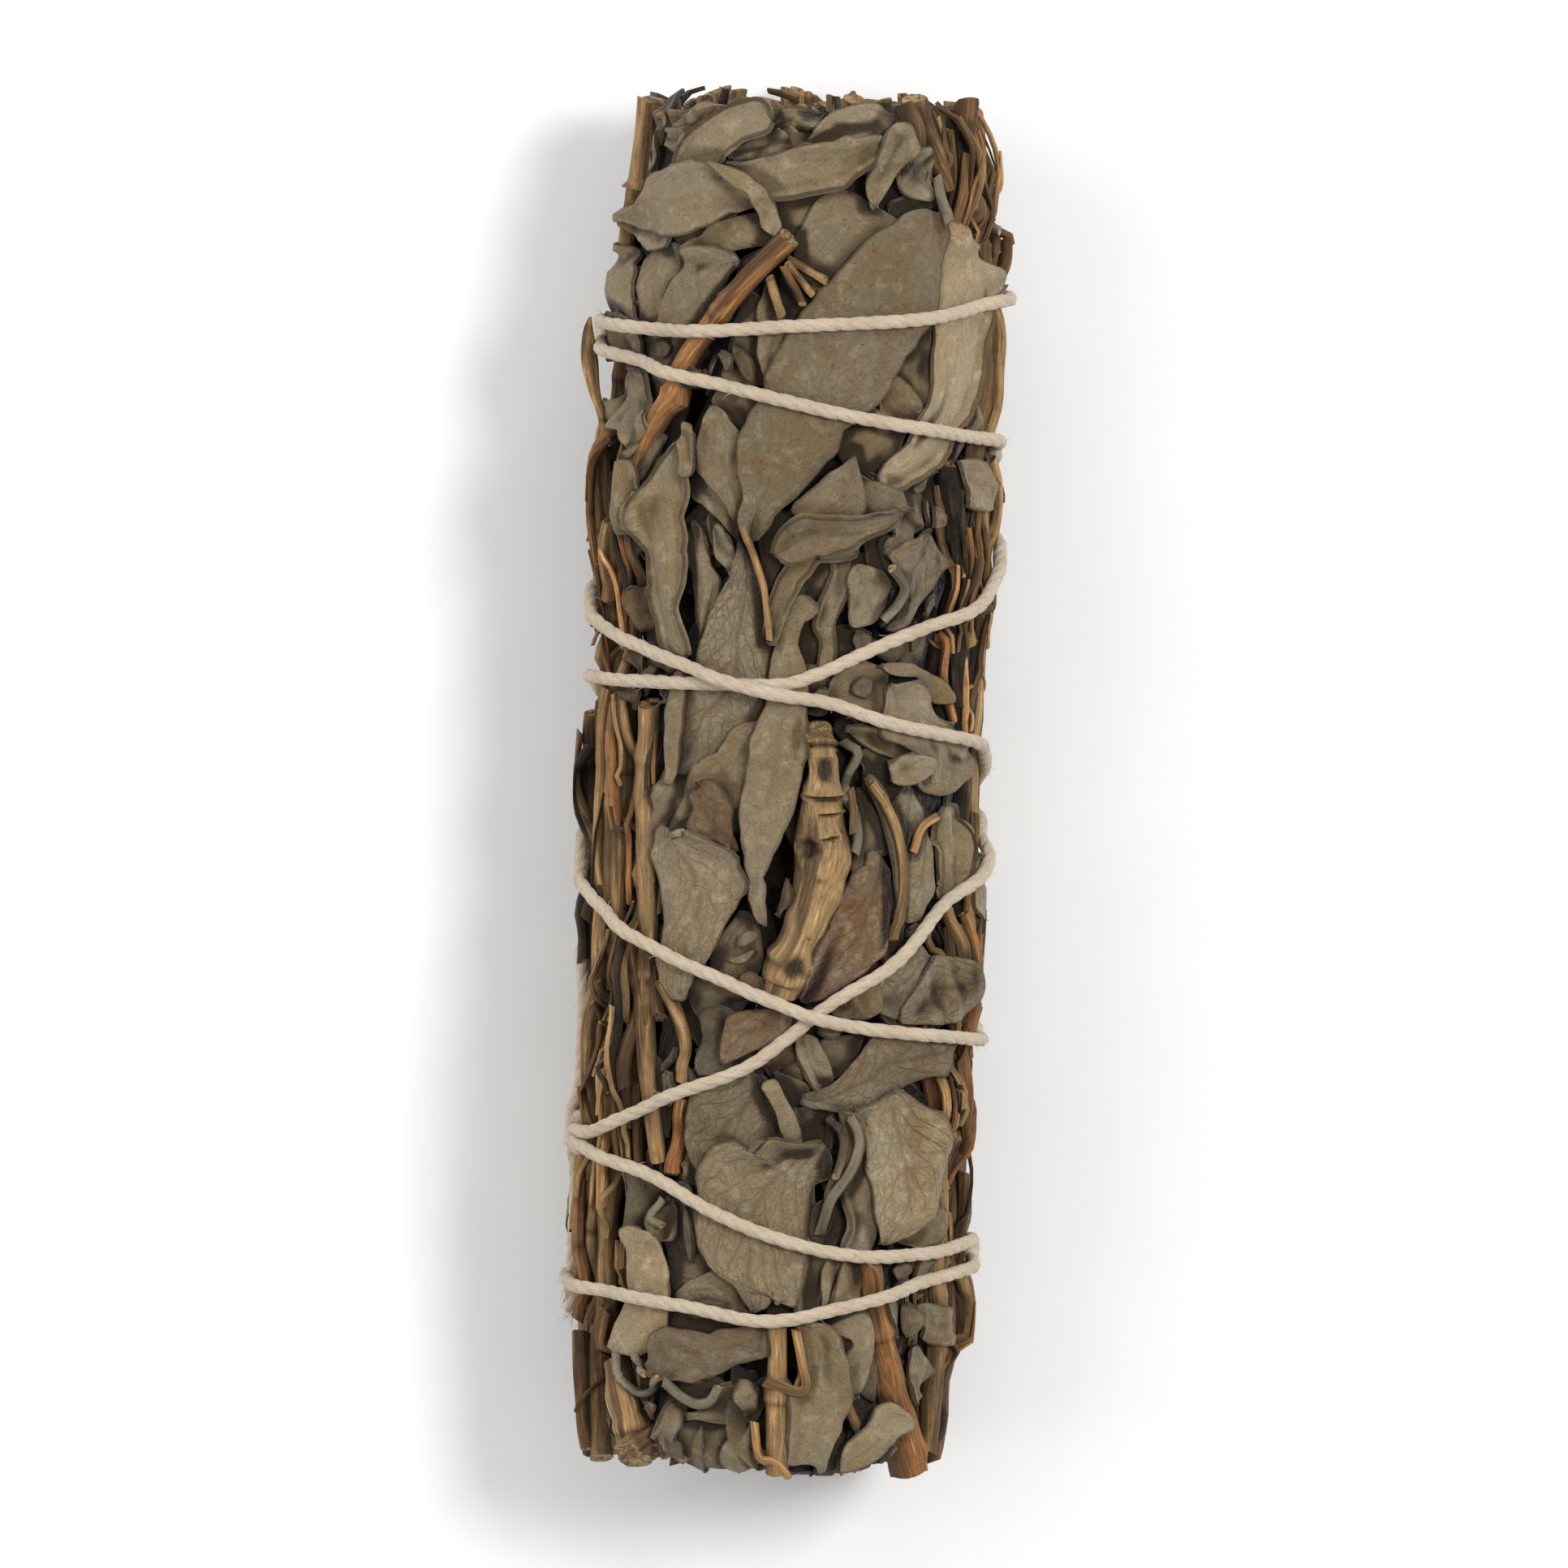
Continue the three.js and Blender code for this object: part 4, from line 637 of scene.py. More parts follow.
# Stems which stand for nodes of the upper side: x, y and radius as seen from above
upperStems = {
    "knotty_stem": ([(2.5, 5, 0.95), (2.6, 2.8, 1.3), (2.7, 1.4, 1.2), (2.8, -1.5, 1.75), (3.2, -4.5, 2.45),
                     (2.9, -7, 2.15), (2.4, -9, 1.85), (1.9, -11, 1.7), (1.2, -13, 1.7), (0.5, -15, 1.9),
                     (0, -16.4, 1.5)], "knotty", 1.2),
    "thick_lower_stem": ([(8.4, -38, 1), (9.2, -43.6, 1.25), (10.5, -47.7, 1.6), (12, -52.8, 1.6),
                          (12.6, -55.4, 1.5)], "red", 0.6),
    "thin_lower_stem": ([(0.7, -43, 0.85), (0.9, -47.2, 0.85), (0.95, -48, 1.1), (1, -48.8, 0.9),
                         (1.1, -55, 0.9)], "tan", 0.8),
    "cut_face_stem": ([(-12.6, -47.4, 1.3), (-11.6, -51, 1.4), (-10.8, -54.8, 1.3)], "tan", 0.6),
    "lower_right_stem": ([(13.3, -22, 0.8), (13.5, -31, 0.8), (13.5, -31.8, 1.05), (13.6, -32.6, 0.8),
                          (13.9, -44, 0.85), (13.6, -53.6, 0.8)], "tan", 0.5),
    "inner_left_stem": ([(-11.8, 6.2, 1), (-11.9, -1, 1.05), (-11.2, -10, 0.8), (-11.2, -19, 0.8),
                         (-9.7, -30.4, 0.7)], "tan", 0.3),
    "bark_right_stem": ([(12.2, 26.4, 1.1), (13.4, 19, 1.2), (13.6, 12, 1.15), (13.6, 3.4, 1)], "bark", 0.5),
    "top_right_stem": ([(13, 55.3, 1), (13, 50, 1), (13, 46.6, 0.9)], "brown", 0.4),
    "top_cut_stem": ([(8.6, 55.6, 1), (10.2, 51.6, 0.95), (11.4, 48.6, 0.7)], "brown", 0.2),
}
longFrontStem = [
    (-1.5, 44.3, 0.95), (-4.5, 41, 0.9), (-9.5, 34, 0.9), (-10.2, 31.4, 1.1), (-11.4, 28.8, 0.9),
    (-13.4, 22, 0.9), (-14.4, 14.5, 0.85),
]
topLeftStem = [(-85, 54.4, 0.9), (-82, 49, 1), (-82, 47.2, 1.2), (-82, 46.4, 0.9), (-82, 42.6, 0.7)]
sideStems = [                 # angle, lowest y, highest y, radius, look
    (-64, -45.6, -22, 0.9, "tan"), (-63.4, -17, 8, 0.7, "pale"), (-72, -55.2, 10, 0.95, "tan"),
    (-81, -54, 30, 1, "tan"), (-91, -55, 24, 0.95, "brown"), (-101, -53.5, 38, 1.05, "tan"),
    (-112, -55, 12, 1.1, "bark"), (-112, 19, 54.6, 0.95, "tan"),
    (73, -19, 12, 0.85, "bark"), (82, -44.2, 44.4, 0.95, "tan"), (92, -55, 26, 1, "brown"),
    (102, -30, 54.6, 1.1, "tan"), (113, -54.5, 34, 1.05, "bark"),
]
innerStems = [(-6, 19, 1.5), (1.5, 21.5, 1.4), (8, 17, 1.6), (-8, 10.5, 1.3), (0, 13, 1.7), (6.5, 8.6, 1.4),
              (-1.5, 7, 1.2)]


def asAngles(points):
    # x of a point seen from above as the angle that the solids have there
    reach = bundle["halfWidth"]
    return [(math.degrees(math.asin(max(-0.999, min(0.999, x / (reach * fullness(y)))))), y, radius)
            for x, y, radius in points]


def sideStations(angle, low, high, radius, item):
    # a slightly wavy stem with a joint every 16 mm or so
    joints = max(3, round((high - low) / 16))
    return [(angle + 1.1 * math.sin(joint / joints * 4 + item * 0.4), high + (low - high) * (joint / joints),
             radius * (1.1 if joint % 2 else 0.95)) for joint in range(joints + 1)]


# Thin stems, splinters and leaf stalks of the upper side: look, radius, points seen from above
columnRods = [
    ("pale", 0.5, [(-14.8, 7), (-15.2, 2), (-15, -9)]),
    ("tan", 0.45, [(-13.8, 7), (-13, 1), (-12.2, -3), (-11.2, -10.5)]),
    ("brown", 0.4, [(-15.6, 6), (-15.7, -1)]),
    ("gold", 0.28, [(-14.5, 1), (-12, -8)]),
    ("bark", 0.9, [(-12.2, 6), (-11.6, -1)]),
    ("tan", 0.7, [(-14.8, -11), (-14.5, -16.3), (-15.2, -22), (-15, -28)]),
    ("pale", 0.35, [(-13.8, -18.5), (-11, -25.8)]),
    ("brown", 0.8, [(-12, -12.5), (-10.8, -19)]),
    ("tan", 0.55, [(-10, -16), (-8.5, -20), (-8, -24)]),
    ("red", 0.75, [(-7.8, -25.5), (-8.8, -31.5)]),
    ("tan", 0.6, [(-12.8, -30.5), (-13.2, -41)]),
    ("brown", 0.4, [(-11.3, -30), (-11.9, -36)]),
    ("pale", 0.5, [(-14.2, -31), (-14.8, -44)]),
    ("brown", 0.6, [(-13.6, -43), (-13.4, -54)]),
    ("brown", 0.7, [(-14.8, -45), (-14.2, -54.5)]),
    ("brown", 0.35, [(-15, 32), (-12.5, 28.5)]),
    ("tan", 0.5, [(-15.3, 30), (-14.8, 24), (-15.3, 16)]),
    ("gold", 0.4, [(-15.5, 24), (-15.6, 12)]),
    ("bark", 1.0, [(13, 12), (13.8, 4)]),
    ("pale", 0.45, [(15.2, 26), (15.3, 14), (15.3, 2)]),
    ("tan", 0.4, [(15.6, 26), (15.7, 10)]),
    ("brown", 0.5, [(15.3, -2), (15.4, -12), (15.3, -20)]),
    ("tan", 0.6, [(15.3, -20), (15.2, -30)]),
    ("brown", 0.5, [(15.4, -31), (15.5, -44.2)]),
    ("pale", 0.4, [(14.6, -11), (14.8, -20)]),
    ("red", 0.9, [(12.6, -22), (13, -25.4)]),
    ("red", 0.7, [(14.5, -44.5), (14, -53.5)]),
    ("tan", 0.6, [(15.6, 44.3), (15.6, 40), (15.5, 28)]),
    ("tan", 0.55, [(14.2, 54.5), (13.5, 48)]),
    ("brown", 0.5, [(11.5, 54), (12, 47)]),
    ("pale", 0.42, [(12.6, 53.5), (13.2, 45.5)]),
    ("tan", 0.5, [(14.6, 51), (14.7, 44.5)]),
    ("gold", 0.35, [(10.4, 53.5), (11, 46)]),
    ("brown", 0.4, [(15, 49), (15.2, 43)]),
    ("red", 0.8, [(7.4, 55.4), (7.9, 52)]),
    ("brown", 0.7, [(9.4, 55), (9.3, 52)]),
    ("red", 0.55, [(-7.3, -0.7), (-5.7, -1.5)]),
    ("pale", 0.33, [(14.1, -9.8), (13.2, -11.5), (13.6, -13.5), (13.9, -15)]),
    ("tan", 0.45, [(7, -49.5), (8, -51.3)]),
    # pegs, flakes and stubs of the leafy end
    ("tan", 0.4, [(-11.9, 54.8), (-11.6, 53.4)]),
    ("brown", 0.4, [(-11.2, 55), (-11, 53.6)]),
    ("bark", 0.38, [(-9.7, 55.9), (-9.6, 54.2)]),
    ("tan", 0.68, [(-8.2, 55.7), (-8, 53.6)]),
    ("brown", 0.4, [(-5, 56), (-3, 55.6), (-1.4, 55.2)]),
    ("brown", 0.3, [(-0.6, 55.9), (-0.5, 54.4)]),
    ("tan", 0.3, [(1.8, 55.6), (1.7, 54.2)]),
    ("brown", 0.3, [(2.5, 55.6), (2.5, 54.2)]),
    ("bark", 0.6, [(6.7, 55), (7.3, 53.4)]),
    ("brown", 1.0, [(8.2, 54.8), (8.5, 51.6)]),
    ("tan", 0.32, [(10.1, 56), (10.3, 54.5)]),
    ("tan", 0.5, [(11.2, 54.4), (11.3, 51)]),
    ("tan", 0.55, [(13.9, 54.4), (13.7, 52), (13.4, 47)]),
    ("pale", 0.3, [(12.3, 53), (12.8, 46.5)]),
    ("leafy", 0.45, [(14.6, 50), (15.1, 48.2), (14.6, 46.6), (15, 45)]),
    ("brown", 0.65, [(15.9, 44.3), (15.8, 40)]),
    ("red", 0.35, [(-13.8, 53.3), (-12.8, 53.7), (-12, 53.8)]),
    ("gold", 0.7, [(-15.75, 36.2), (-15.8, 33.5), (-15.75, 31), (-15.6, 27)]),
]
stalks = [
    ("tan", 0.3, [(-4.3, 21), (-3.3, 18), (-2.6, 16.2), (-2.2, 14), (-1.9, 12)]),
    ("leafy", 0.42, [(4.6, 4), (5.8, 3), (5.1, 1), (4.7, -0.5), (5.5, -1.4), (5.9, -3.5), (5.7, -5)]),
    ("leafy", 0.4, [(7.5, 18), (8.7, 16.5), (8.5, 15), (7.5, 13.8)]),
    ("leafy", 0.36, [(-12.2, -46.3), (-12.1, -47.9), (-11.2, -49.3), (-10.3, -49.3), (-9.4, -48.6),
                     (-8.7, -47.9)]),
    ("leafy", 0.32, [(-10.8, -46.3), (-10.5, -47.2), (-9.8, -47.7)]),
    ("gold", 0.38, [(2.3, -43.5), (2.8, -46), (3.2, -47.8), (2.5, -48.4), (0, -47.7)]),
    ("gold", 0.34, [(-0.8, -51), (-0.3, -53.8), (1, -54.2), (2.2, -55.4)]),
    ("leafy", 0.34, [(-9.2, -33.5), (-9.8, -35), (-8.8, -35.6)]),
    ("tan", 0.35, [(-1.5, 42.5), (1.5, 41)]),
    ("tan", 0.33, [(-1.6, 42.2), (0.5, 39.8)]),
    ("brown", 0.33, [(-1.8, 42), (-0.3, 39)]),
    ("tan", 0.4, [(-3, 41), (-2, 38)]),
    ("leafy", 0.4, [(5.7, -26.2), (6.4, -27.3), (6.6, -28.5), (6.2, -30.1), (5.3, -31.7), (4.6, -32.9),
                    (4.3, -34.8), (4.1, -35.7)]),
    ("leafy", 0.33, [(4.3, -26.4), (5.2, -27.3), (5.5, -28.3), (5.3, -29.6), (4.8, -31)]),
    ("leafy", 0.42, [(-8.1, -48.2), (-7, -49.2), (-5.6, -49.8), (-4.4, -49.5), (-3.7, -48.3)]),
    ("tan", 0.42, [(6.7, 0.6), (7.8, -0.9), (8.8, -3), (9.3, -5.1), (9.5, -7.1), (9.4, -9.5), (9.3, -12)]),
    ("gold", 0.36, [(12.5, -2), (11, -3), (10.3, -4.8)]),
    ("leafy", 0.45, [(10.5, 49.4), (11, 45.8)]),
    # splinters by the knotty stem's broken end
    ("pale", 0.3, [(4.9, 0.2), (5.3, -1.5), (5.3, -3.4)]),
    ("pale", 0.34, [(1.4, 4.2), (2.4, 4.5), (3.3, 4.1)]),
]

# Strewn along the columns: count, where across (from, to), where along (from, to)
strewn = {
    "thinStems": [(20, (-16, -11), (-55, 6)), (10, (-16, -13.4), (6, 30)), (16, (12, 16), (-55, -8)),
                  (9, (12.6, 16), (0, 30)), (7, (11.2, 15.4), (44, 54))],
    "splinters": [(34, (-15.7, -10.6), (-54, 8)), (14, (-15.8, -13), (8, 31)), (26, (12.2, 15.7), (-54, -8)),
                  (14, (12.6, 15.8), (0, 30)), (14, (9.5, 15.2), (44, 55))],
}


def strewStems(name, radii, lengths, rings, seed):
    rng = np.random.default_rng(seed)
    looks = ["tan", "brown", "pale", "bark", "gold", "brown", "tan", "red"]
    for count, (xLow, xHigh), (yLow, yHigh) in strewn[name]:
        for item in range(count):
            x = rng.uniform(xLow, xHigh)
            length = min(rng.uniform(*lengths), yHigh - yLow)
            y = rng.uniform(yLow, yHigh - length)
            slant = rng.uniform(-0.5, 0.5)
            points = [(x - slant, y), (x + rng.uniform(-0.15, 0.15), y + length / 2),
                      (x + slant, y + length)]
            upperRod(name, points, rng.uniform(*radii), looks[item % len(looks)], seed * 100 + item, rings)


def scatterLeaves(group, count, angles, rises, lengths, widths, styles, seed, tones=(0.8, 1.05), lean=1.5,
                  size="small", browns=(0.0, 0.3), span=(-50, 50)):
    rng = np.random.default_rng(seed)
    for item in range(count):
        middle = np.array([unrolled(rng.uniform(*angles)), rng.uniform(*span)])
        length, width = rng.uniform(*lengths), rng.uniform(*widths)
        turn = rng.uniform(-lean, lean) + (math.pi if rng.random() < 0.5 else 0)
        reach = np.array([math.sin(turn), math.cos(turn)]) * length / 2
        if reach[1] > 0:
            reach[1] = np.clip(middle[1] + reach[1], -56, 56) - middle[1]
        layLeaf(group, middle - reach, middle + reach, width, rng.uniform(*rises),
                rng.uniform(-0.12, 0.12) * length, styles[item % len(styles)], rng.uniform(*tones),
                rng.uniform(*browns), seed * 1000 + item, size)


crumbs = {
    "count": 50,
    "seed": 41,
    "deepest": -0.55,         # they lie where the relief is lower than this
    "styles": ("cupped", "rolled", "strip", "crumpled"),
}


def layCrumbs():
    # small curled scraps in the hollows between the larger leaves
    rng = np.random.default_rng(crumbs["seed"])
    laid = 0
    while laid < crumbs["count"]:
        middle = np.array([unrolled(rng.uniform(-72, 72)), rng.uniform(-54, 54)])
        turn = rng.uniform(0, 2 * math.pi)
        reach = np.array([math.sin(turn), math.cos(turn)]) * rng.uniform(0.8, 2.4)
        nearby = middle + reach * np.linspace(-1, 1, 5)[:, None]
        if readMap(relief, nearby[:, 0], nearby[:, 1]).max() < crumbs["deepest"]:
            layLeaf("leafCrumbs", middle - reach, middle + reach, rng.uniform(0.7, 1.8),
                    rng.uniform(-1.1, -0.5), rng.uniform(-0.4, 0.4), crumbs["styles"][laid % 4],
                    rng.uniform(0.5, 0.9), rng.uniform(0, 0.6), crumbs["seed"] * 100 + laid, "tiny")
            laid += 1


# laying the bundle, from the inside out

seeds = {                     # from which the seeds of each kind are counted
    "sideStems": 300,
    "topLeft": 330,
    "columnRods": 400,
    "upperLeaves": 500,
    "upperStems": 600,
    "longFront": 640,
    "stalks": 650,
    "innerStems": 700,
    "cutEnds": 800,
    "bud": 4500,
    "cutFace": 4510,
}

# the deep fillers get darker tones than the leaves on top: partly painted shade in the gaps, partly their
# own colour
scatterLeaves("fillerLeaves", 190, (-180, 180), (-2.4, -1.5), (8, 15), (3.5, 7),
              ["crumpled", "rolled", "flat"], 11, tones=(0.55, 0.8), browns=(0.1, 0.7), span=(-52, 52),
              size="tiny")
scatterLeaves("fillerLeaves", 90, (-62, 62), (-1.9, -1.2), (6, 12), (3, 6),
              ["crumpled", "rolled", "cupped"], 12, tones=(0.6, 0.85), browns=(0.1, 0.6), span=(-53, 53))
for count, angles, seed in ((36, (58, 118), 13), (30, (-118, -62), 14)):
    scatterLeaves("fillerLeaves", count, angles, (-2.2, -1.4), (7, 12), (3, 6),
                  ["crumpled", "rolled", "flat"], seed, tones=(0.6, 0.9), browns=(0.1, 0.6), span=(-51, 51))
for item, (angle, low, high, radius, look) in enumerate(sideStems):
    side = "left" if angle < 0 else "right"
    nodeRod(f"{side}_stem_{item + 1}", sideStations(angle, low, high, radius, item), look,
            seeds["sideStems"] + item, 0.35)
nodeRod("top_left_stem", topLeftStem, "tan", seeds["topLeft"], 0.5)
for item, (look, radius, points) in enumerate(columnRods):
    upperRod("thinStems", points, radius, look, seeds["columnRods"] + item)
strewStems("thinStems", (0.28, 0.6), (7, 20), 20, 31)
strewStems("splinters", (0.12, 0.26), (3, 13), 12, 32)

# bud at the left edge: angle, y, radius and height of its centre
bud = [(-80, 36.9, 0.12, 2.4), (-80, 35.6, 0.45, 2.5), (-80, 33.4, 0.72, 2.3), (-81, 31, 0.5, 1.8),
       (-82, 29, 0.3, 1.1), (-83, 26, 0.25, 0.6)]
layRod("thinStems", [(unrolled(angle), y, radius, height) for angle, y, radius, height in bud], "bud",
       seeds["bud"], thinRings, fixed=True, free=True)
# a stem's cut end at the lower left, turned upwards: x, y and height of its centre
cutFace = [(-11, -52.4, -2.2), (-10.9, -53.2, -0.8), (-10.7, -54, 0.7)]
layRod("thinStems", [(float(seenFrom(x, y)), y, 1.05, height) for x, y, height in cutFace], "pale",
       seeds["cutFace"], 8, fixed=True, free=True)
print("stems of the sides laid:", len(laidRods))

for layer in range(4):
    for item, (level, style, tone, brown, outline) in enumerate(upperLeaves):
        if level == layer:
            layShaped(f"frontLeaves{layer}", outline, layerRise[layer], style, tone, brown,
                      seeds["upperLeaves"] + item)
    if layer == 1:
        for item, (name, (points, look, raised)) in enumerate(upperStems.items()):
            rings = 100 if name == "knotty_stem" else rodRings
            nodeRod(name, asAngles(points), look, seeds["upperStems"] + item, raised, rings)
nodeRod("long_front_stem", asAngles(longFrontStem), "smoothTan", seeds["longFront"], 1.3)
for item, (look, radius, points) in enumerate(stalks):
    upperRod("leafStalks", points, radius, look, seeds["stalks"] + item)
print("upper leaves laid:", len(laidLeaves))

layCrumbs()
scatterLeaves("underLeaves", 46, (118, 242), (-0.9, 0.3), (13, 20), (6, 10),
              ["flat", "veined", "rimLeft", "blunt"], 21, lean=0.7, size="plain", span=(-46, 46))
scatterLeaves("underLeaves", 26, (112, 248), (0, 0.7), (9, 15), (4, 7), ["veined", "crumpled", "rolled"], 22,
              lean=1.2, size="plain", span=(-48, 48))
for angles, seed in (((106, 120), 23), ((-120, -107), 24)):
    scatterLeaves("sideLeaves", 12, angles, (0.2, 0.7), (9, 15), (2.6, 5), ["rolled", "folded", "veined"],
                  seed, lean=0.5, size="middle", span=(-48, 46))
print("all leaves laid:", len(laidLeaves))


# twine: its route as the solids have it (angle in degrees, y), its height over what it crosses

twine = {
    "radius": 0.70,
    "bite": 0.34,             # how far it presses into the leaves
    "step": 0.45,
    "firstCut": 98,           # the strand's steps, cut in two rounds
    "secondCut": 20,
    "plies": 3,
    "plyRadius": 0.43,
    "plyOffset": 0.14,
    "pitch": 4.6,             # length of one turn of a ply
    "reach": 16.2,            # from the axis, where it crosses the upper side
    "widest": 17.35,          # farthest that it stands out at the bundle's sides
    "lowest": 0.86,           # its centre over the surface the bundle lies on
}


def fromFront(x, y):
    return (math.degrees(math.asin(max(-0.995, min(0.995, x / twine["reach"])))), y)


twineRoute = [
    (-97, -43.6), (-93, -38), (-92, -32), (-84, -29), fromFront(-14, -28.4), fromFront(-9, -25.3),
    fromFront(-3, -22.7), fromFront(1, -19.8), fromFront(4.5, -17), fromFront(9, -14), fromFront(13, -9.8),
    fromFront(15.4, -7), (90, -4.4), (130, -1.6), (180, 1.2), (230, 4.6), (268, 7.6), (308, 8), (338, 8.2),
    (356.5, 8.4), (367, 9.3), (389.6, 12), (419.8, 14.8), (450, 19.4), (490, 24), (540, 28.4), (580, 32.6),
    (610, 35.6), (622, 36.3), (636, 36.6), (682, 36.4), (720, 37.3), (758, 38.1), (804, 39.6), (850, 39.2),
    (900, 38), (945, 36.6), (970, 35.6), (986, 35), (1002, 34.5), (1025, 33.6), (1062, 31.9), (1098, 30),
    (1132, 28.8), (1168, 27.8), (1195, 25.8), (1213, 24.4), (1232, 22.8), (1280, 19.6), (1330, 16.6),
    (1352, 14.6), (1374, 12), (1402, 10), (1423, 8.4), (1437, 7.6), (1452, 7), (1472, 5.4), (1506, 3.8),
    (1532, 1.4), (1552, 0.2), (1573, -1), (1596, -1.8), (1650, -3), (1702, -4.4), (1716, -8), (1752, -12.4),
    (1775, -14.8), (1797, -17), (1809, -18.2), (1824, -19), (1848, -19.6), (1888, -20.2), (1940, -18.8),
    (2000, -16), (2050, -14.4), (2064, -18), (2065, -25), (2074, -28.8), (2094, -30), (2122, -31.8),
    (2142, -34.2), (2160, -36), (2182, -37.3), (2208, -37.4), (2245, -36.6), (2285, -37.4), (2340, -39),
    (2390, -40.4), (2428, -41), (2468, -41.4), (2494, -42), (2520, -42.8), (2546, -41.3), (2573, -39.6),
    (2600, -38.6), (2618, -38.2), (2638, -37.3), (2658, -36), (2700, -34), (2745, -32), (2782, -29.8),
    (2792, -29),
]


def highestNear(values, reach):
    wide = np.pad(values, reach, mode="edge")
    return np.max([wide[item:item + len(values)] for item in range(2 * reach + 1)], axis=0)


def layTwine():
    count = twine["firstCut"] * twine["secondCut"] + 1
    path, length = curveThrough([(unrolled(angle), y) for angle, y in twineRoute], count)
    u, v = path[:, 0], path[:, 1]
    du, dv = np.gradient(u), np.gradient(v)
    size = np.hypot(du, dv)
    acrossU, acrossV = -dv / size, du / size
    below = np.max([readMap(relief, u + acrossU * shift, v + acrossV * shift) for shift in (-0.5, 0, 0.5)],
                   axis=0)
    below = smoothLine(np.clip(below, -0.6, 1.5), 6) - twine["bite"]
    strands = np.full((uCount, vCount), -9.0)
    lag = int(9 / twine["step"])                                 # a turn never rests on its own last 9 mm
    lift = np.array(below)
    for item in range(count):
        done = item - lag
        if done >= 0:
            for shift in (-0.5, -0.25, 0, 0.25, 0.5):
                stampMap(strands, u[done] + acrossU[done] * shift, v[done] + acrossV[done] * shift,
                         lift[done] + 2 * twine["radius"])
        lift[item] = max(below[item], float(readMap(strands, u[item], v[item])))
    height = smoothLine(highestNear(lift, 2), 4) + twine["radius"]
    angle = u / bundle["halfWidth"]
    cosine, sine = np.cos(angle), np.abs(np.sin(angle))
    height = np.where(cosine < -0.3, np.minimum(height, roomBelow(cosine, twine["lowest"], v)), height)
    sideRoom = (twine["widest"] - 0.9) / np.maximum(sine, 0.2) - bundle["halfWidth"] * fullness(v)
    height = np.where(sine > 0.6, np.minimum(height, sideRoom), height)
    return u, v, height, length


twineU, twineV, twineHeight, twineLength = layTwine()
print("twine laid:", round(twineLength), "mm")


pressing = {
    "reach": 3.0,             # from the middle of the twine, in mm
    "flat": 0.55,             # as far out as this the leaves lie right under it
    "slope": 0.5,
    "overFloor": 0.12,
}


def pressField():
    # how far the stack of leaves is pushed in by the twine and by the surface underneath
    limit = np.full((uCount, vCount), 9.0)
    offsets = np.arange(-pressing["reach"], pressing["reach"] + 0.01, cell)
    for du in offsets:
        for dv in offsets:
            far = math.hypot(du, dv)
            if far <= pressing["reach"]:
                ramp = max(0.0, far - pressing["flat"]) * pressing["slope"]
                iu = np.round((twineU + du) / around * uCount).astype(int) % uCount
                iv = np.clip(np.round((twineV + dv - vLow) / cell).astype(int), 0, vCount - 1)
                np.minimum.at(limit, (iu, iv), twineHeight - twine["radius"] + ramp - 0.03)
    cosine = np.cos(np.arange(uCount) / uCount * 2 * math.pi)[:, None]
    room = roomBelow(cosine, pressing["overFloor"], vLow + np.arange(vCount)[None, :] * cell)
    limit = np.where(cosine < -0.4, np.minimum(limit, room), limit)
    return blurMap(np.maximum(0, relief - limit), 4)


press = pressField()
# skyline and edges serve only the painted shade below
skyline = blurMap(relief, 60)
edges = blurMap(highestAround(relief), 1)


def paintedShade(u, v, height, own):
    # painted shade: 0 on top of the bundle, 1 well down between the leaves or hard by the edge of a higher
    # one;
    # own is how high the piece itself stands near each point
    deep = smoothStep(readMap(skyline, u, v) - height, 0.2, 1.5)
    crease = smoothStep(readMap(edges, u, v) - own, 0.15, 0.8)
    return np.maximum(deep, 0.92 * crease)


# meshes

def deselect():
    bpy.ops.object.select_all(action="DESELECT")


def makeActive(piece):
    deselect()
    piece.select_set(True)
    bpy.context.view_layer.objects.active = piece


def smoothOver(piece, degrees=50):
    makeActive(piece)
    bpy.ops.object.shade_smooth_by_angle(angle=math.radians(degrees))


def readPlaces(piece):
    places = np.empty(len(piece.data.vertices) * 3)
    piece.data.vertices.foreach_get("co", places)
    return places.reshape(-1, 3)


def writePlaces(piece, places):
    piece.data.vertices.foreach_set("co", places.astype(np.float32).ravel())
    piece.data.update()


def writeMix(piece, name, *values):
    layer = piece.data.color_attributes.new(name=name, type="FLOAT_COLOR", domain="POINT")
    layer.data.foreach_set("color", columns(*values).astype(np.float32).ravel())


def writeVectors(piece, name, vectors):
    layer = piece.data.attributes.new(name, "FLOAT_VECTOR", "POINT")
    layer.data.foreach_set("vector", vectors.astype(np.float32).ravel())


def makeLeafMaster(size):
    # a flat grid, and the order of its points along and then across
    across, along = leafSizes[size]
    bpy.ops.mesh.primitive_grid_add(x_subdivisions=across, y_subdivisions=along, size=2, calc_uvs=True)
    master = bpy.context.active_object
    master.name = f"leafMaster{size.title()}"
    places = readPlaces(master).round(4)
    return master, np.lexsort((places[:, 0], places[:, 1]))


def cutUpright(piece, cuts, least):
    # cuts every edge that rises by more than least
    bpy.ops.object.mode_set(mode="EDIT")
    bpy.ops.mesh.select_mode(type="EDGE")
    bpy.ops.mesh.select_all(action="DESELECT")
    bpy.ops.object.mode_set(mode="OBJECT")
    for edge in piece.data.edges:
        low, high = (piece.data.vertices[vertex].co for vertex in edge.vertices)
        edge.select = abs(low.z - high.z) > least
    bpy.ops.object.mode_set(mode="EDIT")
    bpy.ops.mesh.subdivide(number_cuts=cuts)
    bpy.ops.object.mode_set(mode="OBJECT")


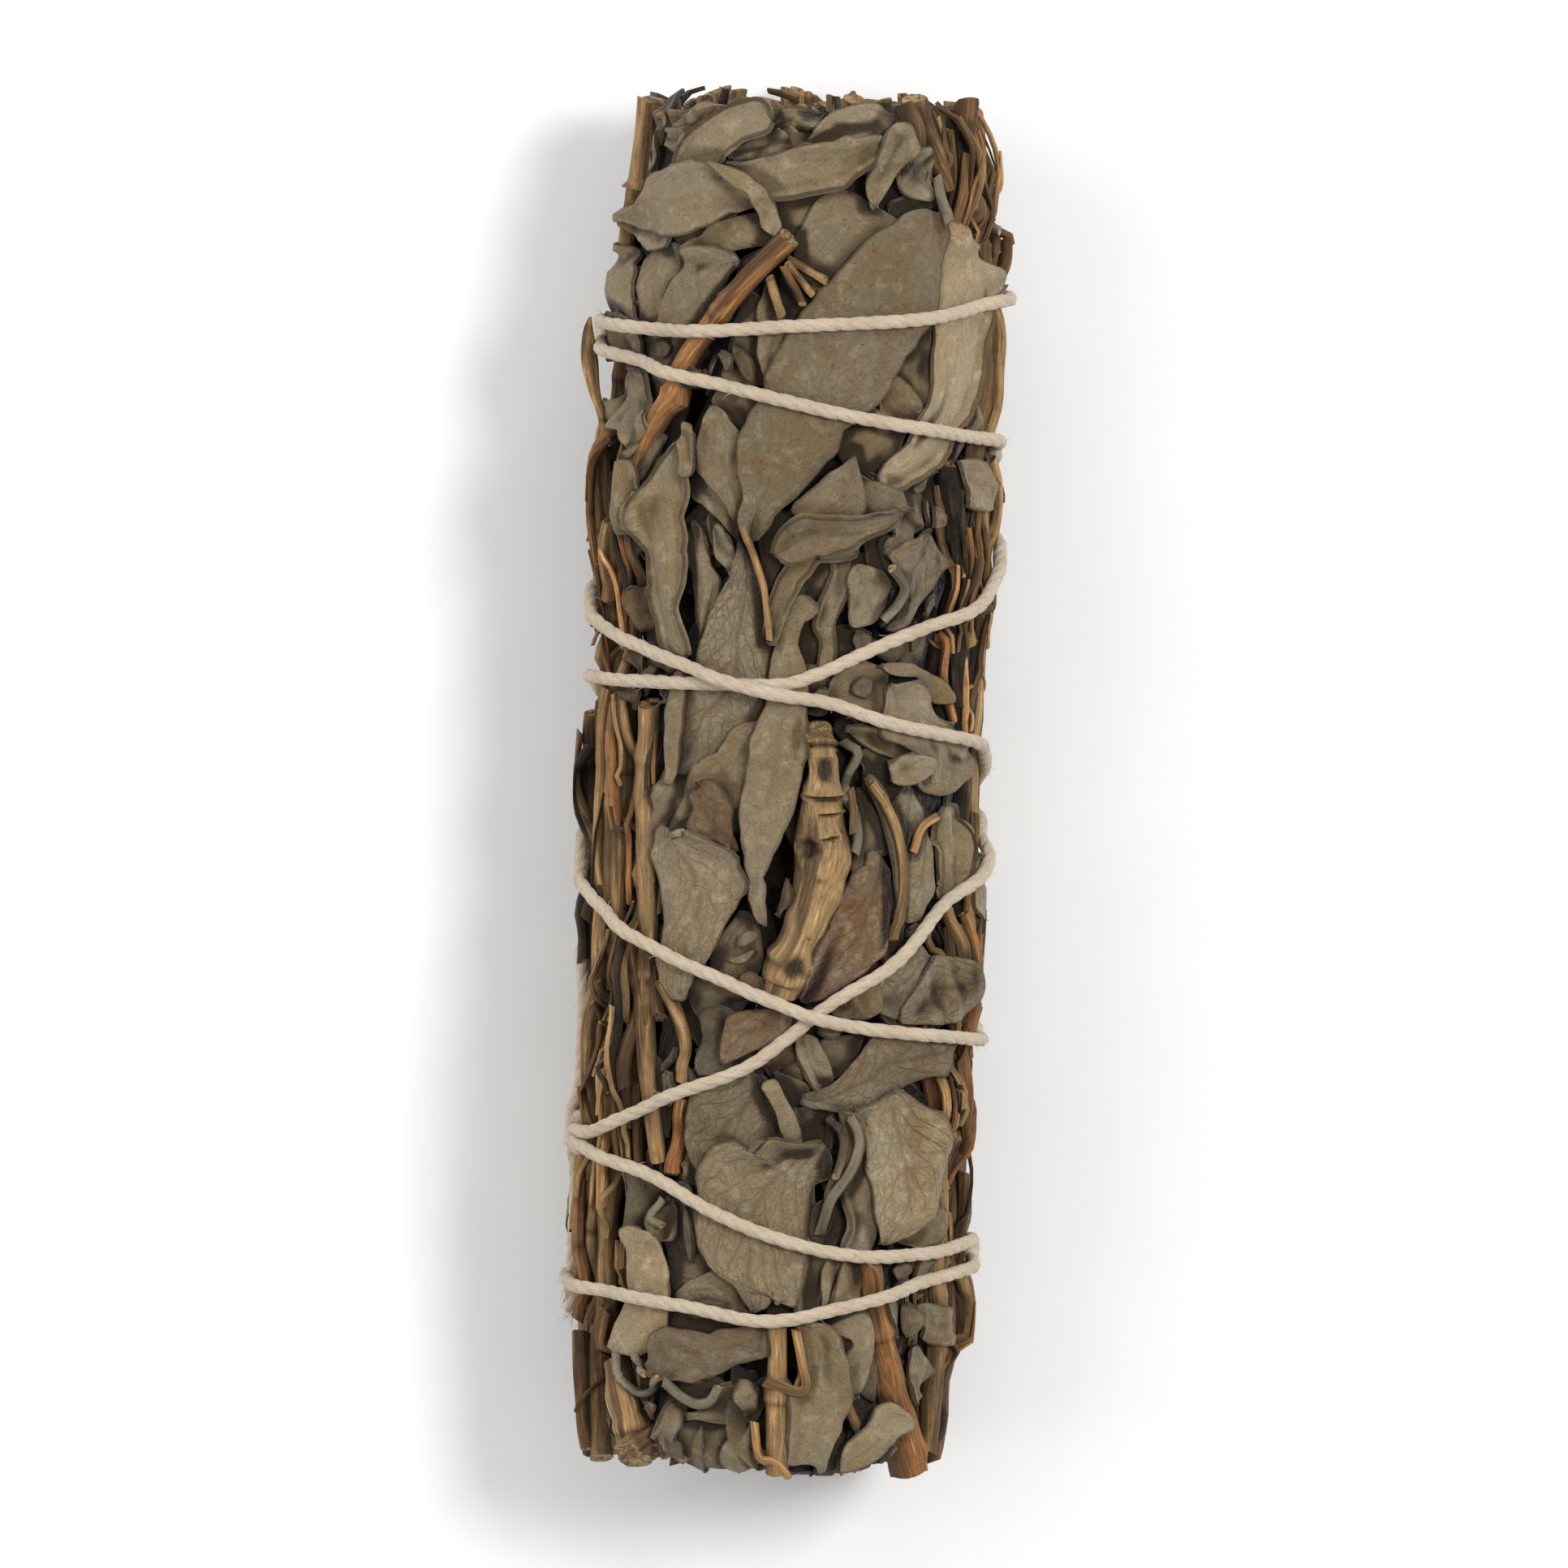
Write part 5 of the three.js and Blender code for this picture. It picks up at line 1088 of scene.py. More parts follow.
def makeRodMaster(sides, rings):
    # a plain cylinder cut into rings, with two rings more on each of its ends
    bpy.ops.mesh.primitive_cylinder_add(vertices=sides, radius=1, depth=1, end_fill_type="NGON")
    master = bpy.context.active_object
    steps = rings - 1
    first = steps if steps <= 100 else twine["firstCut"]
    for parts in (first, steps // first):
        if parts > 1:
            cutUpright(master, parts - 1, 1e-5)
    bpy.ops.object.mode_set(mode="EDIT")
    bpy.ops.mesh.select_mode(type="FACE")
    bpy.ops.mesh.select_all(action="DESELECT")
    bpy.ops.object.mode_set(mode="OBJECT")
    for face in master.data.polygons:
        face.select = abs(face.normal.z) > 0.9
    bpy.ops.object.mode_set(mode="EDIT")
    bpy.ops.mesh.inset(thickness=0.25)
    bpy.ops.mesh.inset(thickness=0.35)
    bpy.ops.object.mode_set(mode="OBJECT")
    return master


def copyOf(master, name):
    copy = bpy.data.objects.new(name, master.data.copy())
    bpy.context.collection.objects.link(copy)
    return copy


def joinPieces(pieces, name):
    deselect()
    for piece in pieces:
        piece.select_set(True)
    bpy.context.view_layer.objects.active = pieces[0]
    bpy.ops.object.join()
    joined = bpy.context.active_object
    joined.name = name
    joined.data.name = name
    return joined


def finishPiece(piece, material, node):
    piece.data.materials.clear()
    piece.data.materials.append(material)
    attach(piece, "root")
    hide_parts(node)


def heldIn(places, limits):
    # eases what stands out past the bundle's sides and ends back towards them, in mm
    for axis, (soft, hard) in enumerate(limits):
        beyond = np.maximum(np.abs(places[:, axis]) - soft, 0)
        eased = soft + (hard - soft) * np.tanh(beyond / (hard - soft))
        places[:, axis] = np.where(beyond > 0, np.sign(places[:, axis]) * eased, places[:, axis])
    return places


def inOrder(values, order):
    placed = np.empty_like(values)
    placed[order] = values
    return placed


rimShade = 0.68               # how dark the very edge of a leaf is painted, as shade at its edge
topShade = 0.55               # and how much of the painted shade the uppermost leaves take
leafLimits = [(15.7, 17.0), (54.2, 55.9)]
rodLimits = [(16.0, 17.15), (55.2, 56.3)]
leafMasters = {size: makeLeafMaster(size) for size in leafSizes}


def makeLeaf(leaf, name):
    master, order = leafMasters[leaf["size"]]
    piece = copyOf(master, name)
    u, v, height = leaf["u"], leaf["v"], leaf["height"]
    if "hollow" in leaf:                                         # an end fold, which stands as it is
        hollow = leaf["hollow"]
        grid = toSpace(u, v, height).reshape(-1, 3)
    else:
        # hollow is painted shade: deep between the leaves, by the edge of a higher one, and round the leaf's
        # rim
        hollow = paintedShade(u, v, height, highestAround(height))
        if leaf["group"] == "frontLeaves3":
            hollow = hollow * topShade
        rim = np.full_like(hollow, rimShade)
        rim[1:-1, 1:-1] = 0
        hollow = np.maximum(hollow, rim)
        depth = readMap(press, u, v) + endDrop(v)
        grid = heldIn(toSpace(u, v, height - depth).reshape(-1, 3) / mm, leafLimits) * mm
    grid[:, 2] = np.maximum(grid[:, 2], 0.06 * mm)
    writePlaces(piece, inOrder(grid, order))
    writeMix(piece, "leafMix", leaf["tone"], leaf["brown"], inOrder(hollow.ravel(), order), leaf["vein"])
    along = np.linalg.norm([u[-1].mean() - u[0].mean(), v[-1].mean() - v[0].mean()])
    width = np.hypot(u[:, -1] - u[:, 0], v[:, -1] - v[:, 0]).max()
    t = np.repeat(np.linspace(0, 1, u.shape[0]), u.shape[1])
    s = np.tile(np.linspace(-0.5, 0.5, u.shape[1]), u.shape[0])
    writeVectors(piece, "leafPlace", inOrder(columns(s * width, t * along, leaf["number"] * 7.3), order))
    return piece


def makeLeaves(leaves, name):
    joined = joinPieces([makeLeaf(leaf, f"{name}{item}") for item, leaf in enumerate(leaves)], name)
    makeActive(joined)
    solidify = joined.modifiers.new("leafThickness", "SOLIDIFY")
    solidify.thickness = leafThickness * mm
    solidify.offset = -1
    bpy.ops.object.modifier_apply(modifier=solidify.name)
    smoothOver(joined, 55)
    places = readPlaces(joined)
    places[:, 2] = np.maximum(places[:, 2], 0.03 * mm)
    writePlaces(joined, places)
    finishPiece(joined, driedLeaf, "leaf_bunch")
    print(name, "made:", len(leaves))


rodMasters = {}


def rodMaster(sides, rings):
    if (sides, rings) not in rodMasters:
        rodMasters[sides, rings] = makeRodMaster(sides, rings)
    return rodMasters[sides, rings]


def readMaster(piece):
    # share along the rod, turn round it and reach from its middle, for every point of a rod's mesh
    start = readPlaces(piece)
    return (np.clip(start[:, 2] + 0.5, 0, 1), np.arctan2(start[:, 1], start[:, 0]),
            np.minimum(np.hypot(start[:, 0], start[:, 1]), 1))


def frameAlong(path, outward):
    # along the path, away from the bundle and sideways
    forward = np.gradient(path, axis=0)
    forward /= np.linalg.norm(forward, axis=1)[:, None]
    normal = outward - forward * np.sum(outward * forward, axis=1)[:, None]
    normal /= np.linalg.norm(normal, axis=1)[:, None]
    return forward, normal, np.cross(forward, normal)


knots = {                     # share of the length, turn, reach along and around, height in mm, darkness
    "knotty_stem": [(0.153, -0.08, 0.044, 0.85, -0.6, 0.95), (0.07, 0, 0.007, 9, -0.15, 0.7),
                    (0.245, -0.2, 0.012, 1.2, -0.35, 0.9), (0.302, -0.3, 0.007, 0.7, -0.25, 0.85),
                    (0.384, -0.1, 0.01, 0.4, -0.15, 0.9), (0.384, -0.1, 0.032, 0.1, -0.1, 0.9),
                    (0.444, 0.75, 0.065, 0.5, -0.7, 0.9), (0.5, -0.8, 0.05, 0.5, 0.3, 0.0),
                    (0.62, -0.9, 0.05, 0.5, 0.4, 0.1), (0.72, 1.1, 0.04, 0.5, 0.35, 0.1),
                    (0.58, 0.1, 0.01, 0.2, -0.1, 0.6), (0.78, -0.2, 0.008, 0.16, -0.1, 0.6),
                    (0.88, -0.14, 0.044, 0.52, -0.55, 0.9)],
    "long_front_stem": [(0.474, 0, 0.012, 9, 0.25, 0.2), (0.48, -1.3, 0.014, 0.5, 0.6, 0.0),
                        (0.2, 0.9, 0.012, 0.4, 0.3, 0.4), (0.72, -0.8, 0.012, 0.4, 0.3, 0.4)],
    "thick_lower_stem": [(0.55, 1.1, 0.05, 0.7, 0.4, 0.2), (0.9, -0.5, 0.05, 0.7, 0.35, 0.1)],
    "lower_right_stem": [(0.31, 0, 0.014, 9, 0.25, 0.2)],
    "thin_lower_stem": [(0.42, 0, 0.03, 9, 0.2, 0.2)],
    "top_left_stem": [(0.6, 0, 0.04, 9, 0.25, 0.2)],
}


def softLumps(rng, length, rings, ring, turn):
    # about 2 mm long, and closing round the stem
    lump = softNoise(rng, (rings, 8), (max(4, int(length / 2.2)), 5))
    lump[:, 7] = lump[:, 0]
    sector = (turn / (2 * math.pi) + 0.5) * 7
    low = np.floor(sector).astype(int) % 8
    blend = sector - np.floor(sector)
    return lump[ring, low] * (1 - blend) + lump[ring, np.minimum(low + 1, 7)] * blend


def stemRelief(rng, rod, rings, share, turn):
    # lumps, flutes and joints as a share of the radius, knots in mm, and how dark they are
    length, rough = rod["length"], stemLooks[rod["look"]][3]
    lumps = softLumps(rng, length, rings, np.round(share * (rings - 1)).astype(int), turn)
    flute = 0.035 * np.sin(turn * 4 + share * 3 + rng.uniform(0, 6)) + 0.02 * np.sin(turn * 7 - share * 5)
    swell = 1 + rough * 1.6 * lumps + flute
    bump, dark = np.zeros_like(share), np.zeros_like(share)
    if rod.get("joints", True):
        for joint in np.arange(rng.uniform(4, 9), length - 2, rng.uniform(13, 19)):
            far = share * length - joint
            swell = swell + 0.17 * np.exp(-(far / 0.55) ** 2)
            dark = dark + 0.5 * np.exp(-((far - 0.55) / 0.22) ** 2)
    for level, side, wide, sweep, high, darkness in knots.get(rod["name"], []):
        off = np.angle(np.exp(1j * (turn - side)))
        far = np.sqrt(((share - level) / wide) ** 2 + (off / sweep) ** 2)
        bump = bump + high * np.exp(-far ** 2)
        if high < 0:                                             # a hole has a raised rim
            bump = bump + 0.32 * np.exp(-((far - 1.25) / 0.35) ** 2)
        dark = dark + darkness * (1 - smoothStep(far, 0.55, 1.05))
    return swell, bump, dark


def makeRod(rod, name, sides=rodSides):
    laid = "u" in rod                                            # or else straight, with a path of its own
    rng = np.random.default_rng(int(rod["seed"]))
    if laid:
        sink = smoothLine(readMap(press, rod["u"], rod["v"]), 3) + rod.get("drop", 0) * endDrop(rod["v"])
        sink = sink * (not rod["free"])
        path = toSpace(rod["u"], rod["v"], rod["height"] - sink) / mm
        outward = outwardAt(rod["u"])
    else:
        path, outward = rod["path"], rod["outward"]
    rings = len(path)
    piece = copyOf(rodMaster(sides, rings), name)
    forward, normal, aside = frameAlong(path, outward)
    share, turn, reach = readMaster(piece)
    place, ringNumbers = share * (rings - 1), np.arange(rings)
    radius = np.interp(place, ringNumbers, np.broadcast_to(rod["radius"], rings))
    swell, bump, dark = stemRelief(rng, rod, rings, share, turn)
    wide = reach * (radius * swell + bump)
    across, up = wide * np.sin(turn), wide * np.cos(turn)
    ends = (share < 0.001) | (share > 0.999)
    dent = np.where(reach < 0.5, 0.22 * radius, 0) * np.where(share < 0.5, 1, -1)
    slant = np.where(ends, 0.45 * wide * np.cos(turn - rng.uniform(0, 6)), 0)
    if laid:
        eastward = columns(outward[:, 2], 0, -outward[:, 0])
        lying = columns(rod["u"], rod["v"], rod["height"], np.sum(aside * eastward, axis=1), aside[:, 1])
        u, v, height, sideU, sideV = sampled(lying, ringNumbers, place).T
        # painted shade on the stem's flanks and where it lies deep among the leaves
        dark = dark + 0.6 * paintedShade(u + across * sideU, v + across * sideV, height + up, height + up + 0.1)
    path, forward, normal, aside = (sampled(values, ringNumbers, place)
                                    for values in (path, forward, normal, aside))
    spot = path + normal * up[:, None] + aside * across[:, None] + forward * (dent + slant)[:, None]
    if laid and not rod["free"]:
        spot = heldIn(spot, rodLimits)
    spot[:, 2] = np.maximum(spot[:, 2], 0.06)
    writePlaces(piece, spot * mm)
    tone, red, bark, _ = stemLooks[rod["look"]]
    # the tone is darkened by the joints and knots and by the painted shade
    tone = tone * rng.uniform(0.9, 1.1) * (1 - np.clip(dark, 0, 0.85))
    writeMix(piece, "stemMix", tone, red, bark, np.where(reach < 0.98, 1.0, np.where(ends, 0.4, 0.0)))
    writeVectors(piece, "stemPlace", columns(np.cos(turn) * reach * radius, np.sin(turn) * reach * radius,
                                             share * rod["length"] + rng.uniform(0, 400)))
    return piece


# materials

class Nodes:
    # short hand for adding and joining shader nodes
    def __init__(self, tree):
        self.tree = tree

    def add(self, kind, inputs=None, **settings):
        node = self.tree.nodes.new(kind)
        for name, value in settings.items():
            setattr(node, name, value)
        for key, value in (inputs or {}).items():
            socket = node.inputs[key]
            if isinstance(value, bpy.types.NodeSocket):
                self.tree.links.new(value, socket)
            else:
                socket.default_value = value
        return node

    def math(self, operation, a, b=0.0, clamp=False):
        return self.add("ShaderNodeMath", {0: a, 1: b}, operation=operation, use_clamp=clamp).outputs[0]

    def times(self, a, b, clamp=False):
        return self.math("MULTIPLY", a, b, clamp)

    def plus(self, a, b, clamp=False):
        return self.math("ADD", a, b, clamp)

    def vector(self, operation, inputs):
        return self.add("ShaderNodeVectorMath", inputs, operation=operation).outputs[0]

    def noise(self, vector, scale, detail=3.0, rough=0.55, twist=0.0):
        return self.add("ShaderNodeTexNoise", {"Vector": vector, "Scale": scale, "Detail": detail,
                                               "Roughness": rough, "Distortion": twist}).outputs["Fac"]

    def ramp(self, value, low, high, toLow=0.0, toHigh=1.0):
        return self.add("ShaderNodeMapRange", {"Value": value, "From Min": low, "From Max": high,
                                               "To Min": toLow, "To Max": toHigh}).outputs[0]

    def mix(self, share, a, b, blend="MIX"):
        return self.add("ShaderNodeMix", {0: share, 6: a, 7: b}, data_type="RGBA",
                        blend_type=blend).outputs[2]

    def brightened(self, colour, bright):
        tint = self.add("ShaderNodeCombineColor", {0: bright, 1: bright, 2: bright}).outputs[0]
        return self.mix(1.0, colour, tint, "MULTIPLY")

    def group(self, tree, **inputs):
        return self.add("ShaderNodeGroup", inputs, node_tree=tree).outputs

    def attribute(self, name):
        return self.add("ShaderNodeAttribute", attribute_name=name).outputs

    def separated(self, colour):
        return self.add("ShaderNodeSeparateColor", {0: colour}).outputs

    def millimetres(self):
        place = self.add("ShaderNodeTexCoord").outputs["Object"]
        return self.add("ShaderNodeMapping", {"Vector": place, "Scale": (1000, 1000, 1000)}).outputs[0]


def linear(red, green, blue):
    # an sRGB colour of 0 to 255 as Blender's linear colour
    return tuple((c / 255 / 12.92) if c / 255 <= 0.04045 else ((c / 255 + 0.055) / 1.055) ** 2.4
                 for c in (red, green, blue)) + (1.0,)


def newGroup(name, inputs, outputs, outputKind="Float"):
    # inputs by name: None for a vector, a tuple for a colour, or a number
    tree = bpy.data.node_groups.new(name, "ShaderNodeTree")
    for label, value in inputs.items():
        kind = "Vector" if value is None else "Color" if isinstance(value, tuple) else "Float"
        socket = tree.interface.new_socket(name=label, in_out="INPUT", socket_type=f"NodeSocket{kind}")
        if value is not None:
            socket.default_value = value
    for label in outputs:
        tree.interface.new_socket(name=label, in_out="OUTPUT", socket_type=f"NodeSocket{outputKind}")
    nodes = Nodes(tree)
    return tree, nodes, nodes.add("NodeGroupInput").outputs


def makeFibreGroup():
    # fine streaks which run along a stem or a strand
    tree, nodes, start = newGroup("fibreStreaks", {"Vector": None, "Across": 6.0, "Along": 0.5},
                                  ["Streak", "Groove"])
    spread = nodes.add("ShaderNodeCombineXYZ", {0: start["Across"], 1: start["Across"],
                                                2: start["Along"]}).outputs[0]
    vector = nodes.vector("MULTIPLY", {0: start["Vector"], 1: spread})
    streak = nodes.noise(vector, 1.0, 4.0, 0.62)
    groove = nodes.noise(vector, 0.45, 2.0, 0.5, 0.3)
    nodes.add("NodeGroupOutput", {"Streak": nodes.ramp(streak, 0.3, 0.7),
                                  "Groove": nodes.ramp(groove, 0.36, 0.56)})
    return tree


def makeMottleGroup():
    # soft blotches, small spots and fine felt, from a vector in mm
    tree, nodes, start = newGroup("driedMottle", {"Vector": None, "Size": 1.0}, ["Blotch", "Spot", "Felt"])
    vector = nodes.vector("SCALE", {0: start["Vector"], 3: start["Size"]})
    blotch = nodes.noise(vector, 0.33, 4.0, 0.6, 0.4)
    spot = nodes.noise(vector, 1.7, 3.0, 0.6)
    felt = nodes.noise(vector, 7.0, 4.0, 0.7)
    nodes.add("NodeGroupOutput", {"Blotch": nodes.ramp(blotch, 0.32, 0.68),
                                  "Spot": nodes.ramp(spot, 0.56, 0.72), "Felt": felt})
    return tree


def makeVeinGroup():
    # midrib, slanting side veins and the net between them, from a place in the leaf in mm
    tree, nodes, start = newGroup("leafVeins", {"Place": None}, ["Midrib", "Side", "Net"])
    wobble = nodes.add("ShaderNodeTexNoise", {"Vector": start["Place"], "Scale": 0.5, "Detail": 2.0})
    shift = nodes.vector("SUBTRACT", {0: wobble.outputs["Color"], 1: (0.5, 0.5, 0.5)})
    shift = nodes.vector("SCALE", {0: shift, 3: 1.3})
    place = nodes.vector("ADD", {0: start["Place"], 1: shift})
    parts = nodes.add("ShaderNodeSeparateXYZ", {0: place}).outputs
    across = nodes.math("ABSOLUTE", parts[0])
    midrib = nodes.ramp(across, 0.05, 0.45, 1.0, 0.0)
    slant = nodes.math("SUBTRACT", parts[1], nodes.times(across, 1.35))
    teeth = nodes.math("FRACT", nodes.math("DIVIDE", slant, 2.3))
    saw = nodes.math("ABSOLUTE", nodes.math("SUBTRACT", teeth, 0.5))
    side = nodes.ramp(saw, 0.0, 0.11, 1.0, 0.0)
    net = nodes.add("ShaderNodeTexVoronoi", {"Vector": place, "Scale": 1.15},
                    feature="DISTANCE_TO_EDGE").outputs[0]
    net = nodes.ramp(net, 0.0, 0.16, 1.0, 0.0)
    nodes.add("NodeGroupOutput", {"Midrib": midrib, "Side": side, "Net": net})
    return tree


def makeHollowGroup():
    # paints shade onto a colour where it lies deep between the leaves
    tree, nodes, start = newGroup("hollowShade", {"Color": (0.5, 0.5, 0.5, 1), "Hollow": 0.0, "Depth": 0.8},
                                  ["Color"], "Color")
    dim = nodes.math("SUBTRACT", 1.0, nodes.times(start["Hollow"], start["Depth"], True))
    tint = nodes.add("ShaderNodeCombineColor", {0: dim, 1: nodes.math("POWER", dim, 1.12),
                                                2: nodes.math("POWER", dim, 1.3)}).outputs[0]
    nodes.add("NodeGroupOutput", {"Color": nodes.mix(1.0, start["Color"], tint, "MULTIPLY")})
    return tree


fibreStreaks = makeFibreGroup()
driedMottle = makeMottleGroup()
leafVeins = makeVeinGroup()
hollowShade = makeHollowGroup()


def newMaterial(name):
    material = bpy.data.materials.new(name)
    material.use_nodes = True
    material.node_tree.nodes.clear()
    return material, Nodes(material.node_tree)


def finishMaterial(nodes, colour, roughness, height, depth, sheen=0.0, specular=0.3):
    bump = nodes.add("ShaderNodeBump", {"Height": height, "Distance": depth * mm, "Strength": 1.0})
    surface = nodes.add("ShaderNodeBsdfPrincipled", {"Base Color": colour, "Roughness": roughness,
                                                     "Normal": bump.outputs[0], "Sheen Weight": sheen,
                                                     "Sheen Roughness": 0.5, "Specular IOR Level": specular})
    nodes.add("ShaderNodeOutputMaterial", {"Surface": surface.outputs[0]})


leafColours = {
    "felt": linear(132, 121, 99),
    "khaki": linear(119, 104, 75),
    "tan": linear(150, 124, 88),
    "brown": linear(112, 80, 50),
    "rust": linear(84, 52, 30),
    "vein": linear(70, 56, 38),
    "pale": linear(176, 162, 136),
}


def makeLeafMaterial():
    material, nodes = newMaterial("driedLeaf")
    mix = nodes.attribute("leafMix")
    tone, brown, hollow = nodes.separated(mix["Color"])[:3]
    inLeaf = nodes.attribute("leafPlace")["Vector"]
    place = nodes.millimetres()
    mottle = nodes.group(driedMottle, Vector=place, Size=1.0)
    veins = nodes.group(leafVeins, Place=inLeaf)
    own = nodes.noise(inLeaf, 0.12, 1.0)
    colour = nodes.mix(nodes.ramp(own, 0.35, 0.65), leafColours["felt"], leafColours["khaki"])
    colour = nodes.mix(nodes.times(mottle["Blotch"], 0.45), colour, leafColours["tan"])
    browned = nodes.plus(brown, nodes.ramp(mottle["Blotch"], 0.2, 1, -0.25, 0.25))
    colour = nodes.mix(nodes.ramp(browned, 0.15, 0.95), colour, leafColours["brown"])
    rust = nodes.times(mottle["Spot"], nodes.ramp(browned, 0.0, 0.5, 0.12, 0.7))
    colour = nodes.mix(rust, colour, leafColours["rust"])
    network = nodes.math("MAXIMUM", nodes.times(veins["Side"], 0.75), nodes.times(veins["Net"], 0.5))
    network = nodes.math("MAXIMUM", network, veins["Midrib"])
    network = nodes.times(network, nodes.ramp(mix["Alpha"], 0, 1, 0.1, 1))
    colour = nodes.mix(nodes.times(network, 0.5), colour, leafColours["vein"])
    bloom = nodes.ramp(nodes.noise(place, 0.8, 4.0, 0.65), 0.52, 0.72, 0, 0.45)
    colour = nodes.mix(bloom, colour, leafColours["pale"])
    crumbled = nodes.ramp(nodes.noise(place, 4.5, 2.0, 0.5), 0.62, 0.7, 0, 0.55)
    colour = nodes.mix(crumbled, colour, leafColours["rust"])
    felt = nodes.ramp(mottle["Felt"], 0.3, 0.7, 0.8, 1.16)
    colour = nodes.brightened(colour, nodes.times(tone, felt))
    # painted shade from the hollow of leafMix
    shade = nodes.group(hollowShade, Color=colour, Hollow=hollow, Depth=0.94)
    height = nodes.math("SUBTRACT", nodes.times(mottle["Felt"], 0.22), nodes.times(network, 0.55))
    height = nodes.plus(height, nodes.times(nodes.noise(place, 1.1, 4.0, 0.6), 1.3))
    rough = nodes.ramp(mottle["Felt"], 0.3, 0.7, 0.78, 0.95)
    finishMaterial(nodes, shade[0], rough, height, 0.28, sheen=0.18, specular=0.22)
    return material


stemColours = {
    "tan": linear(158, 127, 84),
    "red": linear(157, 104, 57),
    "bark": linear(46, 37, 25),
    "lichen": linear(122, 110, 86),
    "straw": linear(194, 161, 108),
    "soil": linear(58, 42, 27),
    "pith": linear(196, 168, 122),
    "rim": linear(96, 68, 42),
}


def makeStemMaterial(name, bark):
    material, nodes = newMaterial(name)
    mix = nodes.attribute("stemMix")
    # tone carries the painted shade laid into stemMix
    tone, red, barky = nodes.separated(mix["Color"])[:3]
    place = nodes.attribute("stemPlace")["Vector"]
    streaks = nodes.group(fibreStreaks, Vector=place, Across=5.0, Along=0.35)
    wide = nodes.group(fibreStreaks, Vector=place, Across=1.6, Along=0.16)
    mottle = nodes.group(driedMottle, Vector=place, Size=0.9)
    redness = nodes.plus(red, nodes.ramp(wide["Streak"], 0, 1, -0.2, 0.3), True)
    colour = nodes.mix(redness, stemColours["tan"], stemColours["red"])
    leafy = nodes.times(red, -1.0, True)                         # a redness below 0 turns to leaf colour
    colour = nodes.mix(leafy, colour, leafColours["felt"])
    barked = nodes.times(nodes.ramp(mottle["Blotch"], 0.1, 0.8, 0.55, 1.0), nodes.plus(barky, bark, True))
    colour = nodes.mix(barked, colour, stemColours["bark"])
    pale = nodes.times(mottle["Spot"], nodes.times(barked, 0.6))
    colour = nodes.mix(pale, colour, stemColours["lichen"])
    woody = nodes.math("SUBTRACT", 1.0, leafy)
    fleck = nodes.times(nodes.ramp(streaks["Streak"], 0.7, 1, 0, 0.5), woody)
    colour = nodes.mix(fleck, colour, stemColours["straw"])
    colour = nodes.mix(nodes.ramp(wide["Groove"], 0, 0.6, 0.75, 0), colour, stemColours["soil"])
    colour = nodes.mix(nodes.times(mottle["Spot"], 0.4), colour, stemColours["soil"])
    contrast = nodes.times(nodes.ramp(streaks["Streak"], 0, 1, -0.5, 0.4), woody)
    bright = nodes.times(tone, nodes.plus(contrast, 1.0))
    bright = nodes.times(bright, nodes.ramp(wide["Streak"], 0, 1, 0.8, 1.2))
    colour = nodes.brightened(colour, bright)
    rings = nodes.ramp(nodes.noise(place, 3.0, 3.0), 0.35, 0.65)
    wood = nodes.mix(rings, stemColours["pith"], stemColours["rim"])
    colour = nodes.mix(nodes.ramp(mix["Alpha"], 0.35, 0.75), colour, wood)
    height = nodes.plus(nodes.times(streaks["Streak"], 0.45), nodes.times(wide["Groove"], 0.7))
    height = nodes.plus(height, nodes.times(mottle["Felt"], 0.25))
    rough = nodes.ramp(streaks["Streak"], 0, 1, 0.55, 0.78)
    finishMaterial(nodes, colour, rough, height, 0.24 + 0.22 * bark, specular=0.3)
    return material


# the core is painted shade: a near-black body that stands for the shaded inside of the bundle
coreColours = {
    "deep": linear(26, 21, 15),
    "shadeBrown": linear(52, 42, 29),
    "spot": linear(74, 58, 38),
    "gap": linear(24, 19, 13),
    "cutLeaf": linear(112, 98, 72),
}


def makeCoreMaterial():
    material, nodes = newMaterial("paintedShadeCore")
    place = nodes.millimetres()
    mottle = nodes.group(driedMottle, Vector=place, Size=1.4)
    colour = nodes.mix(mottle["Blotch"], coreColours["deep"], coreColours["shadeBrown"])
    colour = nodes.mix(mottle["Spot"], colour, coreColours["spot"])
    # the two ends show the cut edges of the leaves rolled up inside, with painted shade in the gaps between
    # them
    layers = nodes.add("ShaderNodeTexWave", {"Vector": place, "Scale": 0.26, "Distortion": 15, "Detail": 3,
                                             "Detail Scale": 0.3, "Detail Roughness": 0.6},
                       wave_type="RINGS", rings_direction="Y").outputs["Fac"]
    cutLeaves = nodes.mix(nodes.ramp(layers, 0.15, 0.75), coreColours["gap"], coreColours["cutLeaf"])
    along = nodes.add("ShaderNodeSeparateXYZ", {0: place}).outputs[1]
    atEnd = nodes.ramp(nodes.math("ABSOLUTE", along), 50.6, 50.9)
    colour = nodes.mix(atEnd, colour, cutLeaves)
    height = nodes.plus(mottle["Blotch"], nodes.times(mottle["Felt"], 0.6))
    height = nodes.plus(height, nodes.times(layers, atEnd))
    rough = nodes.ramp(mottle["Felt"], 0.3, 0.7, 0.85, 0.98)
    finishMaterial(nodes, colour, rough, height, 0.6, specular=0.1)
    return material


twineColours = {
    "cotton": linear(213, 196, 172),
    "cream": linear(194, 174, 145),
    "streak": linear(176, 148, 112),
    "stain": linear(150, 120, 86),
}


